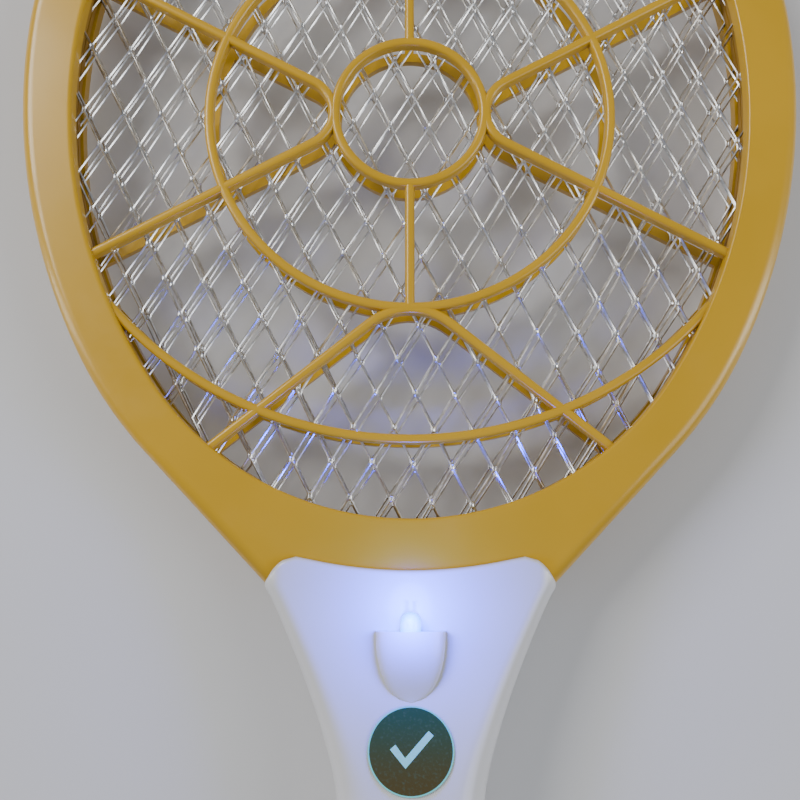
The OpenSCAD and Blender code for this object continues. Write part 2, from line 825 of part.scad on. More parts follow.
module push_switch_plunger() {
    color([0.85, 0.84, 0.80])
        placed()
            translate([0, button_y, board_z + switch_body_h - 0.6])
                cylinder(d = 3.5, h = plunger_h + 0.6);
}

// ---- Slide switch ----

module switch_knob() {
    color([0.93, 0.62, 0.08])
        placed()
            difference() {
                union() {
                    block(knob_w / 2, knob_y - knob_l / 2, knob_y + knob_l / 2,
                        flange_z, half_grip + knob_rise);
                    block(knob_w / 2 + 1.6, knob_y - knob_l / 2 - 2 * switch_travel - 1,
                        knob_y + knob_l / 2 + 2 * switch_travel + 1, flange_z, flange_z + flange_t);
                    block(3, knob_y - 3, knob_y + 3, flange_z - 3, flange_z);
                }
                // Finger grooves across the top
                for (i = [-1, 0, 1])
                    translate([-knob_w, knob_y + i * knob_l / 4 - 0.4, half_grip + knob_rise - 0.6])
                        cube([2 * knob_w, 0.8, 2]);
                block(1 + seat_gap, knob_y - 1 - seat_gap, knob_y + 1 + seat_gap,
                    flange_z - 4, lever_top + seat_gap);
            }
}

module slide_switch_case() {
    color([0.66, 0.67, 0.69])
        placed()
            difference() {
                block(3.6, knob_y - 7.5, knob_y + 7.5, board_z, board_z + slider_case_h);
                block(1 + slide_gap, knob_y - 1 - switch_travel - slide_gap,
                    knob_y + 1 + switch_travel + slide_gap, board_z + 2, board_z + slider_case_h + 1);
            }
}

module slide_switch_lever() {
    color([0.13, 0.13, 0.14])
        placed()
            block(1, knob_y - 1, knob_y + 1, board_z + 2.3, lever_top);
}

// ---- Circuit ----

module circuit_board() {
    color([0.12, 0.36, 0.20])
        placed()
            block(board_w / 2, board_end_y, board_top_y, board_under, board_z);
}

transformer_y = button_y - 8;
transformer_top = board_under - 1.2;

module transformer_core() {
    color([0.22, 0.22, 0.23])
        placed()
            difference() {
                block(8, transformer_y - 3, transformer_y + 3, transformer_top - 8.6, transformer_top);
                for (s = [-1, 1])
                    block_at(s * 4.2, 1.9, transformer_y - 4, transformer_y + 4,
                        transformer_top - 7, transformer_top - 1.6);
            }
}

module transformer_winding() {
    z0 = transformer_top - 7 + seat_gap;
    z1 = transformer_top - 1.6 - seat_gap;
    color([0.80, 0.62, 0.16])
        placed() {
            block(6, transformer_y - 5.6, transformer_y - 3 - fit, z0, z1);
            block(6, transformer_y + 3 + fit, transformer_y + 5.6, z0, z1);
            for (s = [-1, 1]) {
                block_at(s * 4.2, 1.9 - seat_gap, transformer_y - 4, transformer_y + 4, z0, z1);
                for (e = [-1, 1])
                    translate([s * 4, transformer_y + e * 4.6, z1 - 1])
                        cylinder(d = 0.8, h = board_under - z1 + 1, $fn = 16);
            }
        }
}

storage_y = button_y - 27;
module storage_capacitor() {
    color([0.52, 0.22, 0.09])
        placed() {
            block(9, storage_y - 5, storage_y + 5, board_under - 10.6, board_under - 1);
            for (s = [-1, 1])
                translate([s * 7, storage_y, board_under - 2])
                    cylinder(d = 0.8, h = 2, $fn = 16);
        }
}

module dropper_capacitor() {
    y = storage_y - 11;
    color([0.86, 0.72, 0.18])
        placed() {
            block(7, y - 3, y + 3, board_under - 9, board_under - 0.8);
            for (s = [-1, 1])
                translate([s * 5, y, board_under - 2])
                    cylinder(d = 0.8, h = 2, $fn = 16);
        }
}

// A part with a round body and two bent leads, lying across the board's underside.
module axial_part(x, y, body_d, body_l) {
    z = board_under - 0.6 - body_d / 2;
    reach = body_l / 2 + 1.6;
    rod([x - body_l / 2, y, z], [x + body_l / 2, y, z], body_d);
    for (s = [-1, 1]) {
        rod([x, y, z], [x + s * (reach + 0.3), y, z], 0.6);
        rod([x + s * reach, y, z - 0.3], [x + s * reach, y, board_under], 0.56);
    }
}

module rectifier_diodes() {
    color([0.10, 0.10, 0.11])
        placed()
            for (i = [0:3])
                axial_part(-5, board_top_y - 5 - 4 * i, 2.6, 5);
}

module resistors() {
    color([0.72, 0.60, 0.42])
        placed()
            for (i = [0:3])
                axial_part(6, board_top_y - 5 - 4 * i, 2.3, 6);
}

module oscillator_transistor() {
    y = board_top_y - 23;
    color([0.12, 0.12, 0.13])
        placed() {
            block(4, y - 1.3, y + 1.3, board_under - 11, board_under - 3);
            for (i = [-1, 0, 1])
                translate([2.3 * i, y, board_under - 4])
                    cylinder(d = 0.7, h = 4, $fn = 16);
        }
}

// ---- Battery ----

module battery() {
    color([0.24, 0.26, 0.30])
        placed() {
            block(battery_hw, battery_end_y, battery_top_y, -battery_hz, battery_hz);
            block(battery_hw - 3, battery_top_y - 1, battery_top_y + 1, -battery_hz + 2, battery_hz - 2);
        }
}

module battery_terminals() {
    color([0.75, 0.74, 0.70])
        placed()
            for (s = [-1, 1])
                block_at(s * 7, 1.6, battery_top_y + 1 + seat_gap, battery_top_y + 5, 3, 3.6);
}

module battery_leads() {
    color([0.70, 0.10, 0.10])
        placed()
            for (s = [-1, 1])
                wire([[s * 7, battery_top_y + 4, 4.2 + seat_gap],
                    [s * 7, board_end_y + 3, 4.2 + seat_gap],
                    [s * 7, board_end_y + 4, board_z + 1.2],
                    [s * 7, board_end_y + 4, board_z]], 1.1);
}

// ---- Plug ----

module plug_carrier() {
    plate_z = ceiling_z - slide_gap;
    color([0.93, 0.62, 0.08])
        placed()
            difference() {
                union() {
                    block(carrier_hw, carrier_low_y, carrier_y, -carrier_hz, carrier_hz);
                    block(slot_w / 2, tab_y - tab_l, tab_y, 0, half_grip + tab_rise);
                    block(slot_w / 2 + 2, tab_y - tab_l - 3, tab_y + 2, plate_z - 1.2, plate_z);
                }
                // Finger grooves across the thumb tab
                for (i = [1:4])
                    translate([-slot_w, tab_y - tab_l * i / 5 - 0.4, half_grip + tab_rise - 0.6])
                        cube([2 * slot_w, 0.8, 2]);
                for (s = [-1, 1])
                    translate([s * pin_pitch / 2, carrier_low_y - 1, 0])
                        rotate([-90, 0, 0])
                            cylinder(d = pin_d, h = carrier_l + 2);
            }
}

module plug_pins() {
    tip_l = 1;
    color([0.80, 0.68, 0.36])
        placed()
            for (s = [-1, 1])
                translate([s * pin_pitch / 2, 0, 0]) {
                    translate([0, pin_tip_y + tip_l, 0])
                        rotate([-90, 0, 0])
                            cylinder(d = pin_d, h = pin_l + carrier_l - tip_l);
                    translate([0, pin_tip_y, 0])
                        rotate([-90, 0, 0])
                            cylinder(d1 = pin_d - 1.6, d2 = pin_d, h = tip_l);
                    // Contact tail, down to just above the leaf
                    block(1.5, carrier_y, carrier_y + 1, leaf_z + leaf_t + slide_gap, 1);
                }
}

// Two leaf contacts under the pins' tails, each on its own rail of the rear shell.
module plug_contacts() {
    color([0.78, 0.62, 0.30])
        placed()
            for (s = [-1, 1]) {
                block_at(s * pin_pitch / 2, leaf_hw, carrier_y - plug_travel, leaf_y, leaf_z, leaf_z + leaf_t);
                block_at(s * pin_pitch / 2, leaf_hw, leaf_y - leaf_t, leaf_y, leaf_z, -2);
            }
}

module plug_leads() {
    beside = battery_hw + 2.5;
    color([0.10, 0.22, 0.60])
        placed()
            for (s = [-1, 1])
                wire([[s * pin_pitch / 2, leaf_y + seat_gap, -3],
                    [s * pin_pitch / 2, leaf_y + 1, -3],
                    [s * beside, tail_screw_y - 6, -1],
                    [s * beside, battery_top_y, -1],
                    [s * 10.5, board_end_y - 2, -1.6],
                    [s * 10.5, board_end_y + 3, -1.6],
                    [s * 10.5, board_end_y + 4, -0.6],
                    [s * 10.5, board_end_y + 4, board_under]], 1);
}

head_front_frame();
head_rear_frame();
front_mesh();
centre_mesh();
rear_mesh();
front_spacer_ring();
rear_spacer_ring();
mesh_leads();
handle_front_shell();
handle_rear_shell();
handle_screws();
inspection_label();
torch_lamp();
torch_leads();
charge_lamp();
zap_button();
button_spring();
push_switch_body();
push_switch_plunger();
switch_knob();
slide_switch_case();
slide_switch_lever();
circuit_board();
transformer_core();
transformer_winding();
storage_capacitor();
dropper_capacitor();
rectifier_diodes();
resistors();
oscillator_transistor();
battery();
battery_terminals();
battery_leads();
plug_carrier();
plug_pins();
plug_contacts();
plug_leads();
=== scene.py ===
import math

import bmesh
import bpy
from mathutils import Matrix, Vector


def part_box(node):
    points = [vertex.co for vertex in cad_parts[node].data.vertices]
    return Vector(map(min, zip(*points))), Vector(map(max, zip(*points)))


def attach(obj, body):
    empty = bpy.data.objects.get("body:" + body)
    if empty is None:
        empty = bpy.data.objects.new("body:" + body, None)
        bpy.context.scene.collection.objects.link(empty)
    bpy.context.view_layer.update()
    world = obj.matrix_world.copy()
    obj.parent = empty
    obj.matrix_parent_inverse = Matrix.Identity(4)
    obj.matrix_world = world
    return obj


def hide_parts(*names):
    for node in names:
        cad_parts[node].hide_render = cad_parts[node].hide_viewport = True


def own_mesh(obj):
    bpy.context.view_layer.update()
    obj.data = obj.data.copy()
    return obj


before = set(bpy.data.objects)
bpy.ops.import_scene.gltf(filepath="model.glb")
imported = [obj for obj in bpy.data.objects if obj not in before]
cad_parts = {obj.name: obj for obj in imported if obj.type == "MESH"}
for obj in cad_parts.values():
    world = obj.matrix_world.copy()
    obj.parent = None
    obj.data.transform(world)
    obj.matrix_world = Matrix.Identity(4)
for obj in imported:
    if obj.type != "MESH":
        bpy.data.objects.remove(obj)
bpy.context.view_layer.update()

# ---------------------------------------------------------------- camera
# It looks down on the racket from above the web's lower half, with the grip end nearer.
camera_data = bpy.data.cameras.new("camera")
camera_data.lens = 43.2
camera_data.sensor_width = 36.0
camera_data.clip_start = 0.01
camera = bpy.data.objects.new("camera", camera_data)
bpy.context.scene.collection.objects.link(camera)
camera_place = Vector((-0.0026, 0.0114, 0.2650))
camera_target = Vector((-0.0026, 0.0489, 0.0222))
camera.location = camera_place
camera.rotation_euler = (camera_target - camera_place).to_track_quat("-Z", "Y").to_euler()
bpy.context.scene.camera = camera

# ---------------------------------------------------------------- floor and lights
# A plain pale sweep under the racket, one large soft key from the upper left, a fill from the right
# and a low strip on each side that draws the bright line along the rounded rim.


class Value:
    """A shader socket that can be used in sums."""

    def __init__(self, tree, socket):
        self.tree, self.socket = tree, socket

    def maths(self, operation, *terms):
        return add_node(self.tree, "ShaderNodeMath", {"operation": operation}, dict(enumerate(terms)))

    def __add__(self, other):
        return self.maths("ADD", self, other)

    def __mul__(self, other):
        return self.maths("MULTIPLY", self, other)

    __radd__ = __add__

    def between(self, low, high):
        """0 below low, 1 above high, smooth in between."""
        return add_node(self.tree, "ShaderNodeMapRange", {"interpolation_type": "SMOOTHSTEP", "clamp": True},
                        {0: self, 1: low, 2: high})


def add_node(tree, kind, settings, inputs, output=0):
    """Any shader node: its settings first, then its sockets. A value is a number, a colour or a Value."""
    made = tree.nodes.new(kind)
    for name, value in settings.items():
        if name == "stops":
            ramp = made.color_ramp
            for at, colour in value:
                stop = ramp.elements.new(at)
                stop.color = (*colour, 1)
            ramp.elements.remove(ramp.elements[0])
            ramp.elements.remove(ramp.elements[-1])
        else:
            setattr(made, name, value)
    for name, value in inputs.items():
        socket = made.inputs[name]
        if isinstance(value, Value):
            tree.links.new(value.socket, socket)
        elif socket.type == "RGBA" and len(value) == 3:
            socket.default_value = (*value, 1)
        else:
            socket.default_value = value
    return Value(tree, made.outputs[output])


def new_material(name):
    material = bpy.data.materials.new(name)
    material.use_nodes = True
    tree = material.node_tree
    shader = tree.nodes["Principled BSDF"]
    place = add_node(tree, "ShaderNodeTexCoord", {}, {}, "Object")
    return material, tree, shader, place


def join(tree, value, socket):
    tree.links.new(value.socket, socket)


def noise(tree, place, scale, detail=3.0, roughness=0.5):
    return add_node(tree, "ShaderNodeTexNoise", {}, {"Vector": place, "Scale": scale, "Detail": detail,
                                                     "Roughness": roughness})


def blend_colours(tree, factor, low, high):
    return add_node(tree, "ShaderNodeMix", {"data_type": "RGBA"}, {0: factor, 6: low, 7: high}, 2)


def set_bump(tree, shader, height, strength, depth):
    bump = add_node(tree, "ShaderNodeBump", {}, {"Height": height, "Strength": strength, "Distance": depth})
    join(tree, bump, shader.inputs["Normal"])


floor_material, tree, shader, place = new_material("floor_paper")
floor_tone = noise(tree, place, 9.0)
join(tree, blend_colours(tree, floor_tone, (0.60, 0.60, 0.61), (0.64, 0.64, 0.65)), shader.inputs["Base Color"])
shader.inputs["Roughness"].default_value = 0.85
floor_mesh = bmesh.new()
bmesh.ops.create_grid(floor_mesh, x_segments=2, y_segments=2, size=2.0)
floor_data = bpy.data.meshes.new("floor")
floor_mesh.to_mesh(floor_data)
floor_mesh.free()
floor = bpy.data.objects.new("floor", floor_data)
floor_data.materials.append(floor_material)
bpy.context.scene.collection.objects.link(floor)


def soft_light(name, place, target, width, height, watts, colour):
    data = bpy.data.lights.new(name, "AREA")
    data.shape = "RECTANGLE"
    data.size, data.size_y, data.energy, data.color = width, height, watts, colour
    light = bpy.data.objects.new(name, data)
    light.location = place
    light.rotation_euler = (Vector(target) - Vector(place)).to_track_quat("-Z", "Y").to_euler()
    bpy.context.scene.collection.objects.link(light)


soft_light("key_light", (-0.85, 0.65, 0.95), (0, 0.05, 0), 0.60, 0.60, 13.5, (1.0, 0.98, 0.95))
soft_light("fill_light", (0.90, -0.10, 0.75), (0, 0.05, 0), 0.70, 0.70, 5.0, (0.93, 0.96, 1.0))
soft_light("rim_light", (-0.75, 0.05, 0.16), (0, 0.05, 0.01), 0.12, 0.90, 2.4, (1.0, 0.98, 0.94))
soft_light("rim_light_right", (0.75, 0.05, 0.16), (0, 0.05, 0.01), 0.12, 0.90, 2.4, (1.0, 0.98, 0.94))
world = bpy.data.worlds.new("studio")
world.use_nodes = True
world.node_tree.nodes["Background"].inputs["Color"].default_value = (0.80, 0.84, 0.90, 1)
world.node_tree.nodes["Background"].inputs["Strength"].default_value = 0.35
bpy.context.scene.world = world

# ---------------------------------------------------------------- head frames
# Two amber-yellow mouldings, front and rear, that clamp the meshes between them. Each is a flat rim with a
# rounded outer edge and a web of slim ribs: two rings, paired arms with rounded noses, and two long arcs.
# Sizes are millimetres from the middle of the web and from the plane between the two frames.
MM = 0.001
SIDE_R, SIDE_Y, CROWN_TURN, SIDE_TURN = 169.0, 10.8, 5.0, 26.9
SHOULDER_R, SHOULDER_TURN = 112.0, 43.7
HEAD_HALF_W, NECK_HALF_W = 105.3, 36.8
HALF_HEAD, SEAM, EDGE_R = 7.2, 0.05, 3.4
RIM_W, OPENING_SIDE_R, OPENING_SIDE_Y, THROAT_GAP = 14.2, 141.5, 5.6, 12.8
CORNER_L, TOP_EDGE_R = 9.0, 120.0
RIB_W, RIB_TOP, POCKET_Z, POCKET_REACH = 2.5, 6.2, 3.1, 4.5
HUB_RING_R, WEB_RING_R, NOSE_SHIFT = 20.2, 54.3, 0.5
SIDE_NOSE_R, SIDE_ARM_TURN = 9.9, 28.0
END_NOSE_R, END_ARM_TURN = 16.9, 51.5
ARC_GAP = 20.2


def sin(degrees):
    return math.sin(math.radians(degrees))


def cos(degrees):
    return math.cos(math.radians(degrees))


side_cx = HEAD_HALF_W - SIDE_R
crown_y = SIDE_Y - side_cx * sin(CROWN_TURN) / cos(CROWN_TURN)
crown_r = SIDE_R + side_cx / cos(CROWN_TURN)
head_tip = crown_y + crown_r
shoulder_cx = side_cx + (SIDE_R - SHOULDER_R) * cos(SIDE_TURN)
shoulder_cy = SIDE_Y - (SIDE_R - SHOULDER_R) * sin(SIDE_TURN)
run_x = shoulder_cx + SHOULDER_R * cos(SHOULDER_TURN)
run_y = shoulder_cy - SHOULDER_R * sin(SHOULDER_TURN)
corner_y = run_y - (run_x - NECK_HALF_W) * cos(SHOULDER_TURN) / sin(SHOULDER_TURN)
lip_x = NECK_HALF_W - CORNER_L * sin(36)
lip_y = corner_y + CORNER_L * cos(36)
top_edge_cy = lip_y + math.sqrt(TOP_EDGE_R ** 2 - lip_x ** 2)
opening_bottom = top_edge_cy - TOP_EDGE_R + THROAT_GAP
opening_cx = HEAD_HALF_W - RIM_W - OPENING_SIDE_R
opening_crown_r = OPENING_SIDE_R - math.hypot(opening_cx, crown_y - OPENING_SIDE_Y)
opening_fall = opening_bottom - OPENING_SIDE_Y
opening_bottom_r = ((OPENING_SIDE_R ** 2 - opening_cx ** 2 - opening_fall ** 2)
                    / (2 * (OPENING_SIDE_R + opening_fall)))
opening_bottom_cy = opening_bottom + opening_bottom_r
opening_low_turn = math.degrees(math.atan2(opening_bottom_cy - OPENING_SIDE_Y, -opening_cx))
opening_high_turn = math.degrees(math.atan2(crown_y - OPENING_SIDE_Y, -opening_cx))
frame_low, frame_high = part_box("head_front_frame")
HUB = Vector((0, frame_high[1] - head_tip * MM, frame_low[2] - SEAM * MM))


def opening_half_width(y, reach=0.0):
    """Half width of the opening at height y, made larger by reach."""
    low = OPENING_SIDE_Y + (OPENING_SIDE_R + reach) * sin(opening_low_turn)
    high = OPENING_SIDE_Y + (OPENING_SIDE_R + reach) * sin(opening_high_turn)
    if y < low:
        return math.sqrt(max(0, (opening_bottom_r + reach) ** 2 - (y - opening_bottom_cy) ** 2))
    if y > high:
        return math.sqrt(max(0, (opening_crown_r + reach) ** 2 - (y - crown_y) ** 2))
    return opening_cx + math.sqrt((OPENING_SIDE_R + reach) ** 2 - (y - OPENING_SIDE_Y) ** 2)


def chain(bm, points, closed=False):
    """Vertices joined by edges, ready to be spun or run on."""
    verts = [bm.verts.new(p) for p in points]
    pairs = list(zip(verts, verts[1:])) + ([(verts[-1], verts[0])] if closed else [])
    return verts + [bm.edges.new(pair) for pair in pairs]


def spin_on(bm, geom, cx, cy, degrees, step=2.5):
    """Carries a section round a centre, clockwise for negative degrees."""
    made = bmesh.ops.spin(bm, geom=geom, cent=(cx, cy, 0), axis=(0, 0, 1), angle=math.radians(degrees),
                          steps=max(1, round(abs(degrees) / step)))
    return made["geom_last"]


def run_on(bm, geom, vector):
    """Carries a section straight on."""
    edges = [g for g in geom if isinstance(g, bmesh.types.BMEdge)]
    made = bmesh.ops.extrude_edge_only(bm, edges=edges)["geom"]
    verts = [g for g in made if isinstance(g, bmesh.types.BMVert)]
    bmesh.ops.translate(bm, verts=verts, vec=vector)
    ends = set(verts)
    return verts + [g for g in made if isinstance(g, bmesh.types.BMEdge) and set(g.verts) <= ends]


def finish_mesh(bm, name, material, sharp=35.0, recalculate=True):
    """Turns a mesh in millimetres from the middle of the web into an object in its place."""
    if recalculate:
        bmesh.ops.recalc_face_normals(bm, faces=bm.faces)
    bmesh.ops.scale(bm, verts=bm.verts, vec=(MM, MM, MM))
    bmesh.ops.translate(bm, verts=bm.verts, vec=HUB)
    for face in bm.faces:
        face.smooth = True
    data = bpy.data.meshes.new(name)
    bm.to_mesh(data)
    bm.free()
    data.set_sharp_from_angle(angle=math.radians(sharp))
    data.materials.append(material)
    piece = bpy.data.objects.new(name, data)
    bpy.context.scene.collection.objects.link(piece)
    return piece


def moulded_plastic(name, low, high, roughness, grain=900.0, grain_depth=0.00002, coat=0.3):
    """Gloss moulding: a slow drift in tone, faint flow lines, a fine skin and slightly uneven gloss."""
    material, tree, shader, place = new_material(name)
    drift = noise(tree, place, 22.0)
    join(tree, blend_colours(tree, drift.between(0.3, 0.7), low, high), shader.inputs["Base Color"])
    handling = noise(tree, place, 70.0, 6.0, 0.65)
    join(tree, roughness + handling.between(0.45, 0.75) * 0.10, shader.inputs["Roughness"])
    skin = noise(tree, place, grain, 2.0)
    set_bump(tree, shader, skin + handling * 0.6, 0.25, grain_depth)
    shader.inputs["Coat Weight"].default_value = coat
    shader.inputs["Coat Roughness"].default_value = 0.12
    return material


def build_rim(bm):
    outer = [(EDGE_R + 0.4, HALF_HEAD)]
    outer += [(EDGE_R * (1 - sin(11.25 * i)), HALF_HEAD - EDGE_R * (1 - cos(11.25 * i))) for i in range(9)]
    outer += [(0, 0.45), (0.35, SEAM)]
    section = chain(bm, [(0, crown_y + crown_r - inset, z) for inset, z in outer])
    section = spin_on(bm, section, 0, crown_y, -(90 - CROWN_TURN))
    section = spin_on(bm, section, side_cx, SIDE_Y, -(CROWN_TURN + SIDE_TURN), 1.5)
    section = spin_on(bm, section, shoulder_cx, shoulder_cy, SIDE_TURN - SHOULDER_TURN, 1.5)
    length = (run_y - corner_y) / cos(SHOULDER_TURN) + 3
    run_on(bm, section, (-length * sin(SHOULDER_TURN), -length * cos(SHOULDER_TURN), 0))
    lip = 0.8
    inner = [(lip + 0.4, HALF_HEAD)]
    inner += [(lip * (1 - sin(22.5 * i)), HALF_HEAD - lip * (1 - cos(22.5 * i))) for i in range(5)]
    inner += [(0, POCKET_Z), (POCKET_REACH, POCKET_Z), (POCKET_REACH, SEAM)]
    section = chain(bm, [(0, crown_y + opening_crown_r + reach, z) for reach, z in inner])
    section = spin_on(bm, section, 0, crown_y, opening_high_turn - 90)
    section = spin_on(bm, section, opening_cx, OPENING_SIDE_Y, opening_low_turn - opening_high_turn, 1.5)
    spin_on(bm, section, 0, opening_bottom_cy, -90 - opening_low_turn)
    bmesh.ops.mirror(bm, geom=bm.verts[:] + bm.edges[:] + bm.faces[:], matrix=Matrix.Identity(4),
                     merge_dist=0.001, axis="X")
    bmesh.ops.remove_doubles(bm, verts=bm.verts, dist=0.001)
    low = min(v.co.y for v in bm.verts)
    ends = [e for e in bm.edges if len(e.link_faces) == 1
            and max(v.co.y for v in e.verts) < low + 4 and abs(e.verts[0].co.x - e.verts[1].co.x) < 5]
    bmesh.ops.bridge_loops(bm, edges=ends)
    for z in (HALF_HEAD, SEAM):
        loop = [e for e in bm.edges if len(e.link_faces) == 1 and all(abs(v.co.z - z) < 0.01 for v in e.verts)]
        bmesh.ops.triangle_fill(bm, edges=loop, use_beauty=True, normal=(0, 0, 1))


def rib_section(bm, drop=0.0):
    """A closed rib section at the origin, standing across X, with a rounded top."""
    top, half, r = RIB_TOP - drop, RIB_W / 2, 0.95
    points = [(-half, POCKET_Z + drop), (half, POCKET_Z + drop)]
    points += [(half - r + r * cos(22.5 * i), top - r + r * sin(22.5 * i)) for i in range(5)]
    points += [(-half + r - r * sin(22.5 * i), top - r + r * cos(22.5 * i)) for i in range(5)]
    return chain(bm, [(x, 0, z) for x, z in points], closed=True)


def moved(bm, geom, turn, x, y):
    verts = [g for g in geom if isinstance(g, bmesh.types.BMVert)]
    bmesh.ops.rotate(bm, verts=verts, cent=(0, 0, 0), matrix=Matrix.Rotation(math.radians(turn), 3, "Z"))
    bmesh.ops.translate(bm, verts=verts, vec=(x, y, 0))
    return geom


def reach_of(x, y, dx, dy):
    """How far a rib runs from a point until its end is buried in the rim."""
    length = 0.0
    while abs(x + dx * length) < opening_half_width(y + dy * length):
        length += 0.25
    return length + 2.2


def ring_rib(bm, r, drop):
    section = moved(bm, rib_section(bm, drop), 0, r, 0)
    bmesh.ops.spin(bm, geom=section, cent=(0, 0, 0), axis=(0, 0, 1), angle=2 * math.pi, steps=96,
                   use_merge=True)


def vee_rib(bm, turn, ring_r, nose_r, arm_turn, drop):
    """Two arms and the rounded nose between them, opening towards turn."""
    cx = ring_r + NOSE_SHIFT + nose_r
    start_x, start_y = cx - nose_r * sin(arm_turn), nose_r * cos(arm_turn)
    dx, dy = cos(arm_turn), sin(arm_turn)
    turned = [start_x * cos(turn) - start_y * sin(turn), start_x * sin(turn) + start_y * cos(turn)]
    length = reach_of(*turned, dx * cos(turn) - dy * sin(turn), dx * sin(turn) + dy * cos(turn))
    before = set(bm.verts)
    section = moved(bm, rib_section(bm, drop), arm_turn - 90, start_x + dx * length, start_y + dy * length)
    section = run_on(bm, section, (-dx * length, -dy * length, 0))
    section = spin_on(bm, section, cx, 0, 180 - 2 * arm_turn, 6)
    run_on(bm, section, (dx * length, -dy * length, 0))
    made = [v for v in bm.verts if v not in before]
    bmesh.ops.rotate(bm, verts=made, cent=(0, 0, 0), matrix=Matrix.Rotation(math.radians(turn), 3, "Z"))


def build_web(bm):
    ring_rib(bm, HUB_RING_R, 0.0)
    ring_rib(bm, WEB_RING_R, 0.02)
    for turn in (0, 180):
        vee_rib(bm, turn, HUB_RING_R, SIDE_NOSE_R, SIDE_ARM_TURN, 0.05)
    for turn in (90, -90):
        vee_rib(bm, turn, WEB_RING_R, END_NOSE_R, END_ARM_TURN, 0.07)
        section = moved(bm, rib_section(bm, 0.09), turn - 90, HUB_RING_R * cos(turn), HUB_RING_R * sin(turn))
        run_on(bm, section, (0, sin(turn) * (WEB_RING_R - HUB_RING_R), 0))
    arc_r = crown_y - opening_bottom - ARC_GAP
    for side in (-1, 1):
        half_turn = 0.0
        while arc_r * sin(half_turn) < opening_half_width(side * (arc_r * cos(half_turn) - crown_y)):
            half_turn += 0.1
        half_turn += 1.2
        start = side * 90 - half_turn
        section = moved(bm, rib_section(bm, 0.03), start,
                        arc_r * cos(start), arc_r * sin(start) - side * crown_y)
        spin_on(bm, section, 0, -side * crown_y, 2 * half_turn, 2.0)
    bmesh.ops.holes_fill(bm, edges=[e for e in bm.edges if len(e.link_faces) == 1], sides=0)


yellow = moulded_plastic("amber_yellow_moulding", (0.50, 0.285, 0.006), (0.55, 0.315, 0.009), 0.28, coat=0.15)
for name, flip in (("front_frame", 1), ("rear_frame", -1)):
    bm = bmesh.new()
    build_rim(bm)
    build_web(bm)
    bmesh.ops.scale(bm, verts=bm.verts, vec=(1, 1, flip))
    piece = finish_mesh(bm, name, yellow)
    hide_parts("head_" + name)
    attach(piece, "racket")

# ---------------------------------------------------------------- meshes
# Three sheets of bright expanded metal: slit and drawn out into slim diamonds, with a thicker knot where
# two strands part. The middle one is live and the outer two are earthed; they are a little out of line.
DIAMOND_W, DIAMOND_L = 10.5, 18.5
STRAND, SHEET_GAP, LATTICE_TURN = 0.58, 2.8, -2.8
KNOT_X, KNOT_Y = 0.6, 6.6

mesh_metal, tree, shader, place = new_material("bright_expanded_metal")
streak = noise(tree, place, 420.0, 4.0, 0.6)
join(tree, blend_colours(tree, streak.between(0.35, 0.65), (0.60, 0.61, 0.62), (0.86, 0.87, 0.88)),
     shader.inputs["Base Color"])
join(tree, 0.22 + streak * 0.22, shader.inputs["Roughness"])
shader.inputs["Metallic"].default_value = 1.0
set_bump(tree, shader, streak, 0.35, 0.00004)


def expanded_sheet(name, node, z, shift_x, shift_y, sway):
    bm = bmesh.new()
    cells = 36
    bmesh.ops.create_grid(bm, x_segments=cells, y_segments=cells, size=cells / 2)
    bmesh.ops.rotate(bm, verts=bm.verts, cent=(0, 0, 0), matrix=Matrix.Rotation(math.radians(45), 3, "Z"))
    bmesh.ops.scale(bm, verts=bm.verts, vec=(DIAMOND_W / math.sqrt(2), DIAMOND_L / math.sqrt(2), 1))
    bmesh.ops.rotate(bm, verts=bm.verts, cent=(0, 0, 0),
                     matrix=Matrix.Rotation(math.radians(LATTICE_TURN), 3, "Z"))
    bmesh.ops.translate(bm, verts=bm.verts, vec=(KNOT_X + shift_x, KNOT_Y + shift_y, 0))
    outside = [f for f in bm.faces
               if abs(f.calc_center_median().x) > opening_half_width(f.calc_center_median().y, 0.8)]
    bmesh.ops.delete(bm, geom=outside, context="FACES")
    for v in bm.verts:
        x, y = v.co.x, v.co.y
        v.co.x += 0.22 * math.sin(0.9 * x + 1.7 * y + sway) + 0.5 * math.sin(0.031 * y + sway)
        v.co.y += 0.25 * math.sin(1.3 * x - 0.8 * y + 2 * sway)
        v.co.z += 0.14 * math.sin(0.35 * x + 0.27 * y + sway) + 0.12 * math.sin(2.1 * x + 1.1 * y)
    bmesh.ops.bevel(bm, geom=[v for v in bm.verts if len(v.link_edges) == 4], offset=0.75, offset_type="OFFSET",
                    segments=1, profile=0.5, material=-1, affect="VERTICES")
    bmesh.ops.wireframe(bm, faces=bm.faces, thickness=STRAND, use_replace=True, use_boundary=True,
                        use_even_offset=True)
    bmesh.ops.translate(bm, verts=bm.verts, vec=(0, 0, z))
    piece = finish_mesh(bm, name, mesh_metal, 60.0)
    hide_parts(node)
    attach(piece, "racket")


expanded_sheet("front_sheet", "front_mesh", SHEET_GAP, 0.0, 0.0, 0.3)
expanded_sheet("centre_sheet", "centre_mesh", 0.0, 0.8, -1.2, 1.9)
expanded_sheet("rear_sheet", "rear_mesh", -SHEET_GAP, -0.7, 1.1, 3.4)


def dress(node, material):
    """Gives a CAD node its material."""
    node_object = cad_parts[node]
    node_object.data.materials.clear()
    node_object.data.materials.append(material)


# ---------------------------------------------------------------- spacer rings and mesh leads
# Two thin insulating rings part the sheets under the rim, and three insulated leads run down the neck.
spacer = moulded_plastic("spacer_amber", (0.30, 0.15, 0.010), (0.34, 0.18, 0.014), 0.45, coat=0.0)
red_lead = moulded_plastic("red_lead_insulation", (0.52, 0.03, 0.025), (0.60, 0.05, 0.035), 0.38, coat=0.0)
dress("front_spacer_ring", spacer)
dress("rear_spacer_ring", spacer)
dress("mesh_leads", red_lead)

